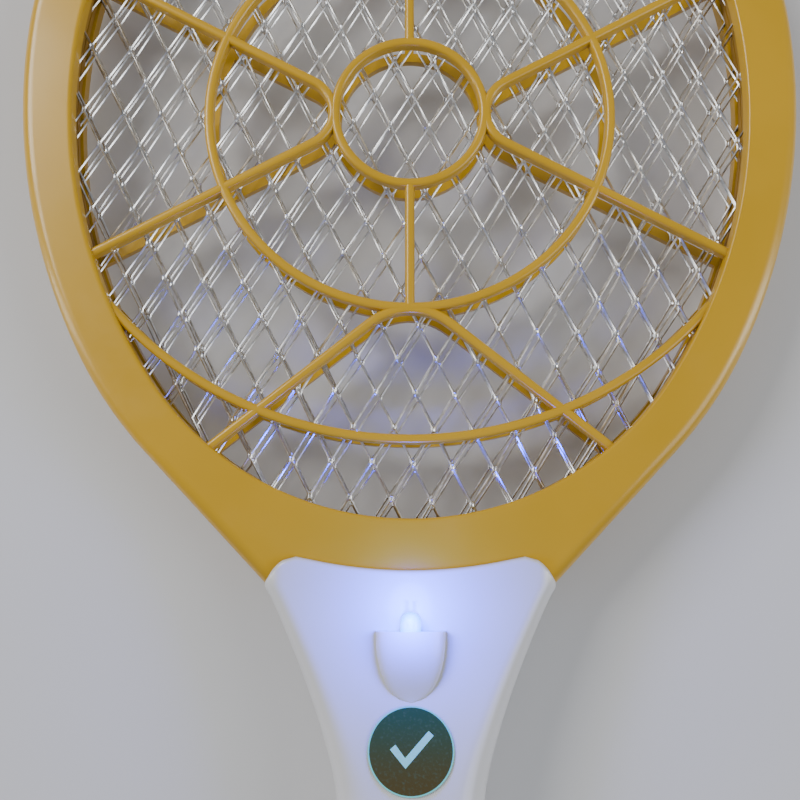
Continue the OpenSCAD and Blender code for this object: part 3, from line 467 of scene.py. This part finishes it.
# ---------------------------------------------------------------- handle shells
# Two gloss white mouldings. They flare into a neck cover with a hollow top edge over the head's throat, and
# run down to a grip with a slight palm swell and a rounded tail. A fine groove shows where they meet.
GRIP_HALF_W, HALF_GRIP, FLARE_L, FLARE_BEND, GRIP_L, TAIL_R = 18.0, 15.0, 51.5, 1.35, 201.0, 6.0
PALM_SWELL, NECK_ROUND, GRIP_ROUND, LIP_T, LIP_R = 3.0, 5.0, 9.5, 1.5, 1.1
FIT, SHELL_T = 0.2, 1.5
grip_y = corner_y - FLARE_L
tail_y = grip_y - GRIP_L
full_y = grip_y - 28
hood_y = corner_y - 11.4
button_y = grip_y - 32
knob_y = button_y - 27
charge_y = knob_y - 20


def mix(a, b, t):
    return a + (b - a) * t


def grip_width(y):
    if y > grip_y:
        return GRIP_HALF_W + (NECK_HALF_W - GRIP_HALF_W) * ((y - grip_y) / FLARE_L) ** FLARE_BEND
    share = min(1, max(0, (grip_y - y) / (GRIP_L - TAIL_R)))
    return GRIP_HALF_W + PALM_SWELL * (1 - cos(360 * share)) / 4


def swell(y):
    return (1 - cos(180 * min(1, max(0, (lip_y - y) / (lip_y - full_y))))) / 2


def grip_height(y):
    return mix(HALF_HEAD + LIP_T + FIT, HALF_GRIP, swell(y))


def cover_edge(x):
    """The cover's top edge: hollow between two square-cut ends, with softened corners."""
    x = min(abs(x), NECK_HALF_W)
    hollow = top_edge_cy - math.sqrt(TOP_EDGE_R ** 2 - x ** 2)
    cut = lip_y + (corner_y - lip_y) * (x - lip_x) / (NECK_HALF_W - lip_x)
    soft = 6.5
    near = max(soft - abs(hollow - cut), 0) / soft
    return min(hollow, cut) - near * near * soft / 4


def half_section(hw, ht, r):
    """Points of half the section, from the right side of the seam over the top to the left side."""
    side = [(hw - 0.25, SEAM), (hw, 0.3), (hw, (ht - r) * 0.5), (hw, (ht - r) * 0.9)]
    side += [(hw - r + r * cos(90 * i / 9), ht - r + r * sin(90 * i / 9)) for i in range(10)]
    flat = [((hw - r) * (1 - i / 10), ht) for i in range(1, 10)]
    right = side + flat
    return right + [(0, ht)] + [(-x, z) for x, z in reversed(right)]


def shell_rows():
    """(kind, value) of each row of points, from the top edge down to the tail's end."""
    rows = [("lip", a) for a in (0, 18, 36, 54, 72, 90)] + [("blend", i / 6) for i in range(7)]
    rows += [("row", mix(corner_y - 6, full_y, i / 26)) for i in range(1, 27)]
    rows += [("row", mix(full_y, tail_y + TAIL_R, i / 20)) for i in range(1, 21)]
    return rows + [("tail", a) for a in (11, 22, 34, 45, 56, 68, 79, 90)]


def shell_point(kind, value, column, wall):
    """A point of the surface that lies wall inside the shell's outer one."""
    inset, y = wall, corner_y
    if kind == "lip":
        inset = max(wall, LIP_R * (1 - sin(value)))
    if kind == "tail":
        inset = wall + (TAIL_R - wall) * (1 - cos(value))
        y = tail_y + TAIL_R - (TAIL_R - wall) * sin(value)
    if kind == "row":
        y = value
    for _ in range(3):
        at = max(min(y, corner_y), tail_y + TAIL_R)
        r = max(mix(NECK_ROUND, GRIP_ROUND, swell(at)) - inset, 0.6)
        x, z = half_section(grip_width(at) - inset, grip_height(max(y, tail_y + TAIL_R)) - inset, r)[column]
        if kind == "lip":
            y = cover_edge(x) - LIP_R * (1 - cos(value))
        if kind == "blend":
            y = mix(cover_edge(x) - LIP_R - 0.4, corner_y - 6, value)
    return x, y, z


def build_shell(bm):
    rows = shell_rows()
    columns = len(half_section(20, 15, 5))
    for wall in (0.0, SHELL_T):
        grid = bmesh.ops.create_grid(bm, x_segments=columns - 1, y_segments=len(rows) - 1, size=0.5)["verts"]
        last = {}
        for v in grid:
            column, row = round((v.co.x + 0.5) * (columns - 1)), round((v.co.y + 0.5) * (len(rows) - 1))
            v.co = shell_point(*rows[row], column, wall)
            if row == len(rows) - 1:
                last[column] = v
        bm.faces.new([last[column] for column in range(columns)])
    bmesh.ops.bridge_loops(bm, edges=[e for e in bm.edges if len(e.link_faces) == 1])


def round_cutter(bm, x, y, d, z0, z1):
    bmesh.ops.create_cone(bm, cap_ends=True, segments=48, radius1=d / 2, radius2=d / 2, depth=z1 - z0,
                          matrix=Matrix.Translation((x, y, (z0 + z1) / 2)))


def slot_cutter(bm, hw, y0, y1, z0, z1, r):
    """A slot with rounded corners."""
    made = bmesh.ops.create_cube(bm, size=1.0, matrix=Matrix.Translation((0, (y0 + y1) / 2, (z0 + z1) / 2))
                                 @ Matrix.Diagonal((2 * hw, y1 - y0, z1 - z0, 1)))
    upright = {e for v in made["verts"] for e in v.link_edges if abs(e.verts[0].co.z - e.verts[1].co.z) > 0.1}
    bmesh.ops.bevel(bm, geom=list(upright), offset=r, segments=6, profile=0.5, material=-1, affect="EDGES")


def combine(piece, operation, build_tool):
    """Joins a solid to a finished piece, or cuts it out of the piece."""
    bm = bmesh.new()
    build_tool(bm)
    tool = finish_mesh(bm, "tool", white)
    modifier = piece.modifiers.new("shape", "BOOLEAN")
    modifier.operation, modifier.solver, modifier.object = operation, "MANIFOLD", tool
    bpy.context.view_layer.update()
    result = bpy.data.meshes.new_from_object(piece.evaluated_get(bpy.context.evaluated_depsgraph_get()))
    piece.modifiers.clear()
    piece.data = result
    result.set_sharp_from_angle(angle=math.radians(35))
    bpy.data.objects.remove(tool)


white = moulded_plastic("gloss_white_moulding", (0.60, 0.60, 0.62), (0.64, 0.64, 0.66), 0.28)

# The torch hood stands on the cover: a shield that rises towards the lamp and sinks to a rounded tip.
HOOD_HALF_W, HOOD_L, HOOD_H, LAMP_D = 8.55, 17.0, 5.4, 5.0
lamp_z = grip_height(hood_y) + LAMP_D / 2 - 0.6


def build_hood(bm):
    columns, rows = 28, 22
    bmesh.ops.create_grid(bm, x_segments=columns, y_segments=rows, size=0.5)
    for v in bm.verts:
        across, along = v.co.x * 180, min(1.0, max(0.0, v.co.y + 0.5))
        y = hood_y - HOOD_L * along
        narrow = math.sqrt(max(0.0, 1 - along ** 2.3))
        half = HOOD_HALF_W * narrow
        height = HOOD_H * (1 - along ** 2.2) ** 1.3
        x = half * sin(across)
        rise = max(0.0, cos(across)) ** 0.45
        v.co = (x, y, grip_height(y) - 0.5 + (height + 0.5) * rise)
    bmesh.ops.remove_doubles(bm, verts=bm.verts, dist=0.001)
    skirt = run_on(bm, [e for e in bm.edges if len(e.link_faces) == 1], (0, 0, 0))
    for v in (g for g in skirt if isinstance(g, bmesh.types.BMVert)):
        v.co.z = HALF_HEAD + 0.6
    bmesh.ops.remove_doubles(bm, verts=bm.verts, dist=0.0005)
    bmesh.ops.holes_fill(bm, edges=[e for e in bm.edges if len(e.link_faces) == 1], sides=0)


PLUG_MOUTH = 13.6, tail_y - 3, tail_y + 5, -6.3, 6.3, 1.0
BOARD_L, BATTERY_L, TAIL_SCREW_X, SCREW_HEAD_D = 84.0, 44.0, 11.5, 5.0
mid_screw_y = grip_y - 2 - BOARD_L - 4.5
tail_screw_y = mid_screw_y - 7.5 - BATTERY_L - 6
neck_screw_y = corner_y - 15
neck_screw_x = grip_width(neck_screw_y) - 9


def front_cuts(bm):
    bore = bmesh.ops.create_cone(bm, cap_ends=True, segments=32, radius1=2.6, radius2=2.6, depth=10.8)["verts"]
    bmesh.ops.rotate(bm, verts=bore, cent=(0, 0, 0), matrix=Matrix.Rotation(math.radians(90), 3, "X"))
    bmesh.ops.translate(bm, verts=bore, vec=(0, hood_y + 1.6, lamp_z))
    slot_cutter(bm, 3.8, knob_y - 7.8, knob_y + 7.8, 8, 20, 1.0)
    slot_cutter(bm, 2.8, tail_y + 10.2, tail_y + 41.3, 8, 20, 1.0)
    slot_cutter(bm, *PLUG_MOUTH)
    round_cutter(bm, 0, button_y, 14.6, 5, 25)
    round_cutter(bm, 0, charge_y, 3.1, 5, 25)


def rear_cuts(bm):
    slot_cutter(bm, *PLUG_MOUTH)
    for x, y in ((-neck_screw_x, neck_screw_y), (neck_screw_x, neck_screw_y), (0, mid_screw_y),
                 (-TAIL_SCREW_X, tail_screw_y), (TAIL_SCREW_X, tail_screw_y)):
        round_cutter(bm, x, y, SCREW_HEAD_D, -25, -6)


for name, flip, cuts in (("front_shell", 1, front_cuts), ("rear_shell", -1, rear_cuts)):
    bm = bmesh.new()
    build_shell(bm)
    bmesh.ops.scale(bm, verts=bm.verts, vec=(1, 1, flip))
    piece = finish_mesh(bm, name, white)
    if flip == 1:
        combine(piece, "UNION", build_hood)
    combine(piece, "DIFFERENCE", cuts)
    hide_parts("handle_" + name)
    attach(piece, "racket")


def metal(name, low, high, roughness, scale=300.0):
    """Plated or drawn metal: fine brushed variation and uneven gloss."""
    material, tree, shader, place = new_material(name)
    wear = noise(tree, place, scale, 5.0, 0.6)
    join(tree, blend_colours(tree, wear.between(0.3, 0.7), low, high), shader.inputs["Base Color"])
    join(tree, roughness + wear * 0.15, shader.inputs["Roughness"])
    shader.inputs["Metallic"].default_value = 1.0
    set_bump(tree, shader, wear, 0.2, 0.00003)
    return material


steel = metal("zinc_plated_steel", (0.50, 0.50, 0.52), (0.66, 0.66, 0.68), 0.30)
dress("handle_screws", steel)

# ---------------------------------------------------------------- torch lamp
# A clear 5 mm lamp set in the hood's mouth. It is lit: white at its core and cyan outside, and it washes the
# cover and the throat of the head with blue.
lamp_glow, tree, shader, place = new_material("lit_clear_lamp")
centre = Vector((0, HUB.y + (hood_y + 1.5) * MM, HUB.z + lamp_z * MM))
offset = add_node(tree, "ShaderNodeVectorMath", {"operation": "DISTANCE"}, {0: place, 1: centre}, "Value")
glow = offset.between(0.0008, 0.0030)
join(tree, blend_colours(tree, glow, (1.0, 1.0, 1.0), (0.01, 0.50, 0.80)), shader.inputs["Emission Color"])
shader.inputs["Emission Strength"].default_value = 1.8
join(tree, blend_colours(tree, glow, (0.9, 1.0, 1.0), (0.10, 0.55, 0.75)), shader.inputs["Base Color"])
shader.inputs["Roughness"].default_value = 0.12


def lathe(bm, profile, steps=40):
    """Spins (radius, height) points round Z into a closed solid."""
    section = chain(bm, [(r, 0, z) for r, z in profile])
    bmesh.ops.spin(bm, geom=section, cent=(0, 0, 0), axis=(0, 0, 1), angle=2 * math.pi, steps=steps,
                   use_merge=True)
    bmesh.ops.remove_doubles(bm, verts=bm.verts, dist=0.0005)


bm = bmesh.new()
lamp_r = LAMP_D / 2
profile = [(0, 0), (lamp_r - 0.3, 0), (lamp_r, 0.3), (lamp_r, 5.6)]
profile += [(lamp_r * cos(a), 5.6 + lamp_r * sin(a)) for a in (15, 30, 45, 60, 75)] + [(0, 5.6 + lamp_r)]
lathe(bm, profile)
bmesh.ops.rotate(bm, verts=bm.verts, cent=(0, 0, 0), matrix=Matrix.Rotation(math.radians(-90), 3, "X"))
bmesh.ops.translate(bm, verts=bm.verts, vec=(0, hood_y - 3.6, lamp_z))
lamp = finish_mesh(bm, "lit_lamp", lamp_glow)
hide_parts("torch_lamp")
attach(lamp, "racket")


def bulb_light(name, y, z, radius, watts, colour):
    data = bpy.data.lights.new(name, "POINT")
    data.shadow_soft_size, data.energy, data.color = radius, watts, colour
    light = bpy.data.objects.new(name, data)
    light.location = HUB + Vector((0, y, z)) * MM
    bpy.context.scene.collection.objects.link(light)


bulb_light("lamp_pool", hood_y + 4.0, lamp_z + 5.0, 0.0015, 0.0022, (0.0, 0.62, 1.0))
bulb_light("lamp_wash", hood_y + 6, lamp_z + 13, 0.006, 0.17, (0.01, 0.04, 1.0))

black_lead = moulded_plastic("black_lead_insulation", (0.015, 0.015, 0.017), (0.03, 0.03, 0.032), 0.4, coat=0.0)
dress("torch_leads", black_lead)

# ---------------------------------------------------------------- inspection label
# A round printed film with a thin pale rim, stuck below the hood. A plain tick stands in for its words.
LABEL_R = 10.3
label_y = hood_y - 17 - 0.4 - LABEL_R
label_rise = grip_height(label_y - LABEL_R) - grip_height(label_y + LABEL_R)
label_slope = math.degrees(math.atan(label_rise / (2 * LABEL_R)))
label_place = Vector((0, label_y, grip_height(label_y) + 0.3))


def lay_on_cover(bm, piece_name, material):
    bmesh.ops.rotate(bm, verts=bm.verts, cent=(0, 0, 0),
                     matrix=Matrix.Rotation(math.radians(-label_slope), 3, "X"))
    bmesh.ops.translate(bm, verts=bm.verts, vec=label_place)
    made = finish_mesh(bm, piece_name, material)
    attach(made, "racket")
    return made


film, tree, shader, place = new_material("printed_label_film")
label_centre = HUB + label_place * MM
apart = add_node(tree, "ShaderNodeVectorMath", {"operation": "SUBTRACT"}, {0: place, 1: label_centre})
parts = tree.nodes.new("ShaderNodeSeparateXYZ")
join(tree, apart, parts.inputs[0])
down = Value(tree, parts.outputs[1])
radius = add_node(tree, "ShaderNodeVectorMath", {"operation": "LENGTH"}, {0: apart}, "Value")
print_tone = blend_colours(tree, down.between(-0.010, 0.010), (0.060, 0.044, 0.006), (0.010, 0.062, 0.024))
fleck = noise(tree, place, 1500.0, 2.0)
print_tone = blend_colours(tree, fleck.between(0.5, 0.8) * 0.5, print_tone, (0.05, 0.10, 0.05))
rim = radius.between(0.00985, 0.01000)
join(tree, blend_colours(tree, rim, print_tone, (0.16, 0.68, 0.48)), shader.inputs["Base Color"])
join(tree, 0.28 + fleck * 0.12, shader.inputs["Roughness"])
shader.inputs["Coat Weight"].default_value = 0.4
set_bump(tree, shader, fleck, 0.2, 0.00001)
bm = bmesh.new()
lathe(bm, [(0, 0), (LABEL_R - 0.05, 0), (LABEL_R, 0.06), (LABEL_R, 0.14), (LABEL_R - 0.06, 0.2), (0, 0.2)], 72)
label = lay_on_cover(bm, "label_disc", film)
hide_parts("inspection_label")

print_ink, tree, shader, place = new_material("pale_print")
ink_wear = noise(tree, place, 900.0)
join(tree, blend_colours(tree, ink_wear, (0.20, 0.66, 0.48), (0.30, 0.78, 0.60)), shader.inputs["Base Color"])
shader.inputs["Roughness"].default_value = 0.4
bm = bmesh.new()
tick = [(-5.0, 0.4), (-3.7, 1.5), (-1.4, -1.5), (4.2, 4.6), (5.4, 3.5), (-1.3, -3.9)]
face = bm.faces.new([bm.verts.new((x, y, 0.2)) for x, y in tick])
made = bmesh.ops.extrude_face_region(bm, geom=[face])["geom"]
bmesh.ops.translate(bm, verts=[g for g in made if isinstance(g, bmesh.types.BMVert)], vec=(0, 0, 0.06))
lay_on_cover(bm, "label_tick", print_ink)

# ---------------------------------------------------------------- push button
# A round amber button, dished for the thumb, that works the high voltage. It sinks 1.5 mm onto its switch.
amber = moulded_plastic("amber_control_moulding", (0.72, 0.30, 0.012), (0.78, 0.36, 0.018), 0.28)
BUTTON_R, BUTTON_TOP, BUTTON_FLOOR = 7.0, HALF_GRIP + 2.4, 11.5
bm = bmesh.new()
profile = [(0, BUTTON_FLOOR), (BUTTON_R + 1.5, BUTTON_FLOOR), (BUTTON_R + 1.5, BUTTON_FLOOR + 1.2),
           (BUTTON_R, BUTTON_FLOOR + 1.2), (BUTTON_R, BUTTON_TOP - 1.0)]
profile += [(BUTTON_R - 1 + cos(a), BUTTON_TOP - 1 + sin(a)) for a in (22.5, 45, 67.5, 90)]
profile += [(BUTTON_R - 1.6, BUTTON_TOP - 0.02), (4.4, BUTTON_TOP - 0.35), (2.4, BUTTON_TOP - 0.6),
            (0, BUTTON_TOP - 0.68)]
lathe(bm, profile, 56)
bmesh.ops.translate(bm, verts=bm.verts, vec=(0, button_y, 0))
button = finish_mesh(bm, "button_cap", amber)
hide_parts("zap_button")
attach(button, "zap_button")

spring = metal("drawn_spring_steel", (0.55, 0.56, 0.58), (0.72, 0.73, 0.75), 0.25)
black_part = moulded_plastic("black_component", (0.012, 0.012, 0.013), (0.02, 0.02, 0.022), 0.5, coat=0.0)
cream_part = moulded_plastic("cream_plunger", (0.62, 0.60, 0.52), (0.68, 0.66, 0.58), 0.4, coat=0.0)
SPRING_Z0, SPRING_Z1, SPRING_R, WIRE_R, SPRING_TURNS, TURN_STEPS = 2.35, 11.11, 4.9, 0.3, 5, 28
bm = bmesh.new()
section = chain(bm, [(SPRING_R + WIRE_R * cos(a), 0, SPRING_Z0 + WIRE_R * sin(a)) for a in range(0, 360, 45)],
                closed=True)
rise = (SPRING_Z1 - SPRING_Z0) / (SPRING_TURNS * TURN_STEPS)
bmesh.ops.spin(bm, geom=section, cent=(0, 0, 0), axis=(0, 0, 1), dvec=(0, 0, rise),
               angle=2 * math.pi * SPRING_TURNS, steps=SPRING_TURNS * TURN_STEPS)
bmesh.ops.holes_fill(bm, edges=[e for e in bm.edges if len(e.link_faces) == 1], sides=0)
bmesh.ops.translate(bm, verts=bm.verts, vec=(0, button_y, 0))
coil = finish_mesh(bm, "return_coil", spring)
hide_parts("button_spring")
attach(coil, "racket")
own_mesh(coil)
dress("push_switch_body", black_part)
dress("push_switch_plunger", cream_part)

# ---------------------------------------------------------------- slide switch
# A three-place switch below the button: zap, off, torch. The knob has finger grooves and slides 3 mm each way.
KNOB_HALF_W, KNOB_HALF_L, KNOB_TOP = 3.5, 4.5, HALF_GRIP + 2.0


def grooved_block(bm, hw, y0, y1, z0, z1, grooves, edge):
    """A block with softened edges and V grooves across its top."""
    made = bmesh.ops.create_cube(bm, size=1.0, matrix=Matrix.Translation((0, (y0 + y1) / 2, (z0 + z1) / 2))
                                 @ Matrix.Diagonal((2 * hw, y1 - y0, z1 - z0, 1)))
    verts = made["verts"]
    geom = verts + list({e for v in verts for e in v.link_edges})
    geom += list({f for v in verts for f in v.link_faces})
    for groove in grooves:
        for offset in (-0.45, 0, 0.45):
            cut = bmesh.ops.bisect_plane(bm, geom=geom, plane_co=(0, groove + offset, 0), plane_no=(0, 1, 0))
            geom = list(set(geom) | set(cut["geom"]) | set(cut["geom_cut"]))
    for v in (g for g in geom if isinstance(g, bmesh.types.BMVert)):
        if v.co.z > z1 - 0.01 and any(abs(v.co.y - groove) < 0.05 for groove in grooves):
            v.co.z -= 0.55
    edges = [g for g in geom if isinstance(g, bmesh.types.BMEdge) and g.is_valid and len(g.link_faces) == 2
             and g.calc_face_angle(0) > 1.2]
    bmesh.ops.bevel(bm, geom=edges, offset=edge, segments=3, profile=0.5, material=-1, affect="EDGES")


bm = bmesh.new()
grooved_block(bm, KNOB_HALF_W, knob_y - KNOB_HALF_L, knob_y + KNOB_HALF_L, 11.5, KNOB_TOP,
              [knob_y + i * 2.2 for i in (-1, 0, 1)], 0.45)
grooved_block(bm, KNOB_HALF_W + 1.6, knob_y - KNOB_HALF_L - 7, knob_y + KNOB_HALF_L + 7, 11.5, 12.7, [], 0.2)
knob = finish_mesh(bm, "knob_cap", amber)
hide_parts("switch_knob")
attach(knob, "power_switch")

tin = metal("tinned_sheet", (0.55, 0.55, 0.55), (0.72, 0.72, 0.71), 0.28)
dress("slide_switch_case", tin)
dress("slide_switch_lever", black_part)

# ---------------------------------------------------------------- charge lamp
# A 3 mm red lamp below the switch, its dome just proud of the grip.
red_lens, tree, shader, place = new_material("red_tinted_lens")
lens_tone = noise(tree, place, 600.0)
join(tree, blend_colours(tree, lens_tone, (0.42, 0.012, 0.008), (0.55, 0.025, 0.015)),
     shader.inputs["Base Color"])
shader.inputs["Roughness"].default_value = 0.12
shader.inputs["Coat Weight"].default_value = 0.6
bm = bmesh.new()
profile = [(0, 10.5), (1.5, 10.5), (1.5, 13.5)]
profile += [(1.5 * cos(a), 13.5 + 1.5 * sin(a)) for a in (18, 36, 54, 72)] + [(0, 15.0)]
lathe(bm, profile, 32)
bmesh.ops.translate(bm, verts=bm.verts, vec=(0, charge_y, 0))
charge_lens = finish_mesh(bm, "charge_lens", red_lens)
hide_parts("charge_lamp")
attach(charge_lens, "racket")

# ---------------------------------------------------------------- circuit
# A single-sided board carries the oscillator, step-up transformer, rectifier and capacitors, all under it.
board_green, tree, shader, place = new_material("green_solder_mask")
weave = noise(tree, place, 1200.0, 2.0)
tracks = add_node(tree, "ShaderNodeTexBrick", {},
                  {"Vector": place, "Scale": 160.0, "Color1": (0.02, 0.14, 0.05),
                   "Color2": (0.03, 0.18, 0.07), "Mortar": (0.04, 0.24, 0.10)})
join(tree, blend_colours(tree, weave.between(0.4, 0.8) * 0.3, tracks, (0.05, 0.2, 0.1)),
     shader.inputs["Base Color"])
shader.inputs["Roughness"].default_value = 0.35
set_bump(tree, shader, weave, 0.2, 0.00002)
dress("circuit_board", board_green)
ferrite = moulded_plastic("sintered_ferrite", (0.03, 0.03, 0.032), (0.06, 0.06, 0.062), 0.6, coat=0)
dress("transformer_core", ferrite)
dress("transformer_winding", moulded_plastic("winding_tape", (0.55, 0.32, 0.03), (0.66, 0.42, 0.06), 0.3))
dress("storage_capacitor", moulded_plastic("brown_dip", (0.16, 0.035, 0.012), (0.22, 0.05, 0.02), 0.25))
dress("dropper_capacitor", moulded_plastic("yellow_case", (0.62, 0.42, 0.03), (0.70, 0.50, 0.05), 0.3))
dress("rectifier_diodes", black_part)
dress("resistors", moulded_plastic("tan_dip", (0.42, 0.26, 0.13), (0.50, 0.33, 0.18), 0.45, coat=0))
dress("oscillator_transistor", black_part)

# ---------------------------------------------------------------- battery
# A sealed rechargeable block in the grip, with two terminal tabs and a pair of leads to the board.
dress("battery", moulded_plastic("battery_case", (0.03, 0.035, 0.045), (0.05, 0.055, 0.07), 0.42, coat=0))
dress("battery_terminals", tin)
dress("battery_leads", red_lead)

# ---------------------------------------------------------------- charging plug
# Two plated pins in an amber carrier that a ribbed thumb tab slides out of the tail, over two leaf contacts.
carrier_low_y = tail_y + 3 + 19
carrier_y = carrier_low_y + 13
tab_y = carrier_y + 6
TAB_L = 9.0
bm = bmesh.new()
grooved_block(bm, 13.3, carrier_low_y, carrier_y, -6, 6, [], 0.6)
grooved_block(bm, 2.5, tab_y - TAB_L, tab_y, 1.0, HALF_GRIP + 2,
              [tab_y - TAB_L * i / 5 for i in range(1, 5)], 0.4)
grooved_block(bm, 4.5, tab_y - TAB_L - 3, tab_y + 2, 11.5, 12.7, [], 0.2)
carrier = finish_mesh(bm, "carrier_and_tab", amber)
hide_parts("plug_carrier")
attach(carrier, "charging_plug")

nickel = metal("nickel_plate", (0.62, 0.60, 0.54), (0.78, 0.76, 0.70), 0.16)
dress("plug_pins", nickel)
dress("plug_contacts", metal("sprung_brass", (0.60, 0.42, 0.14), (0.74, 0.55, 0.22), 0.26))
blue_lead = moulded_plastic("blue_lead_insulation", (0.02, 0.06, 0.30), (0.03, 0.08, 0.38), 0.4, coat=0.0)
dress("plug_leads", blue_lead)
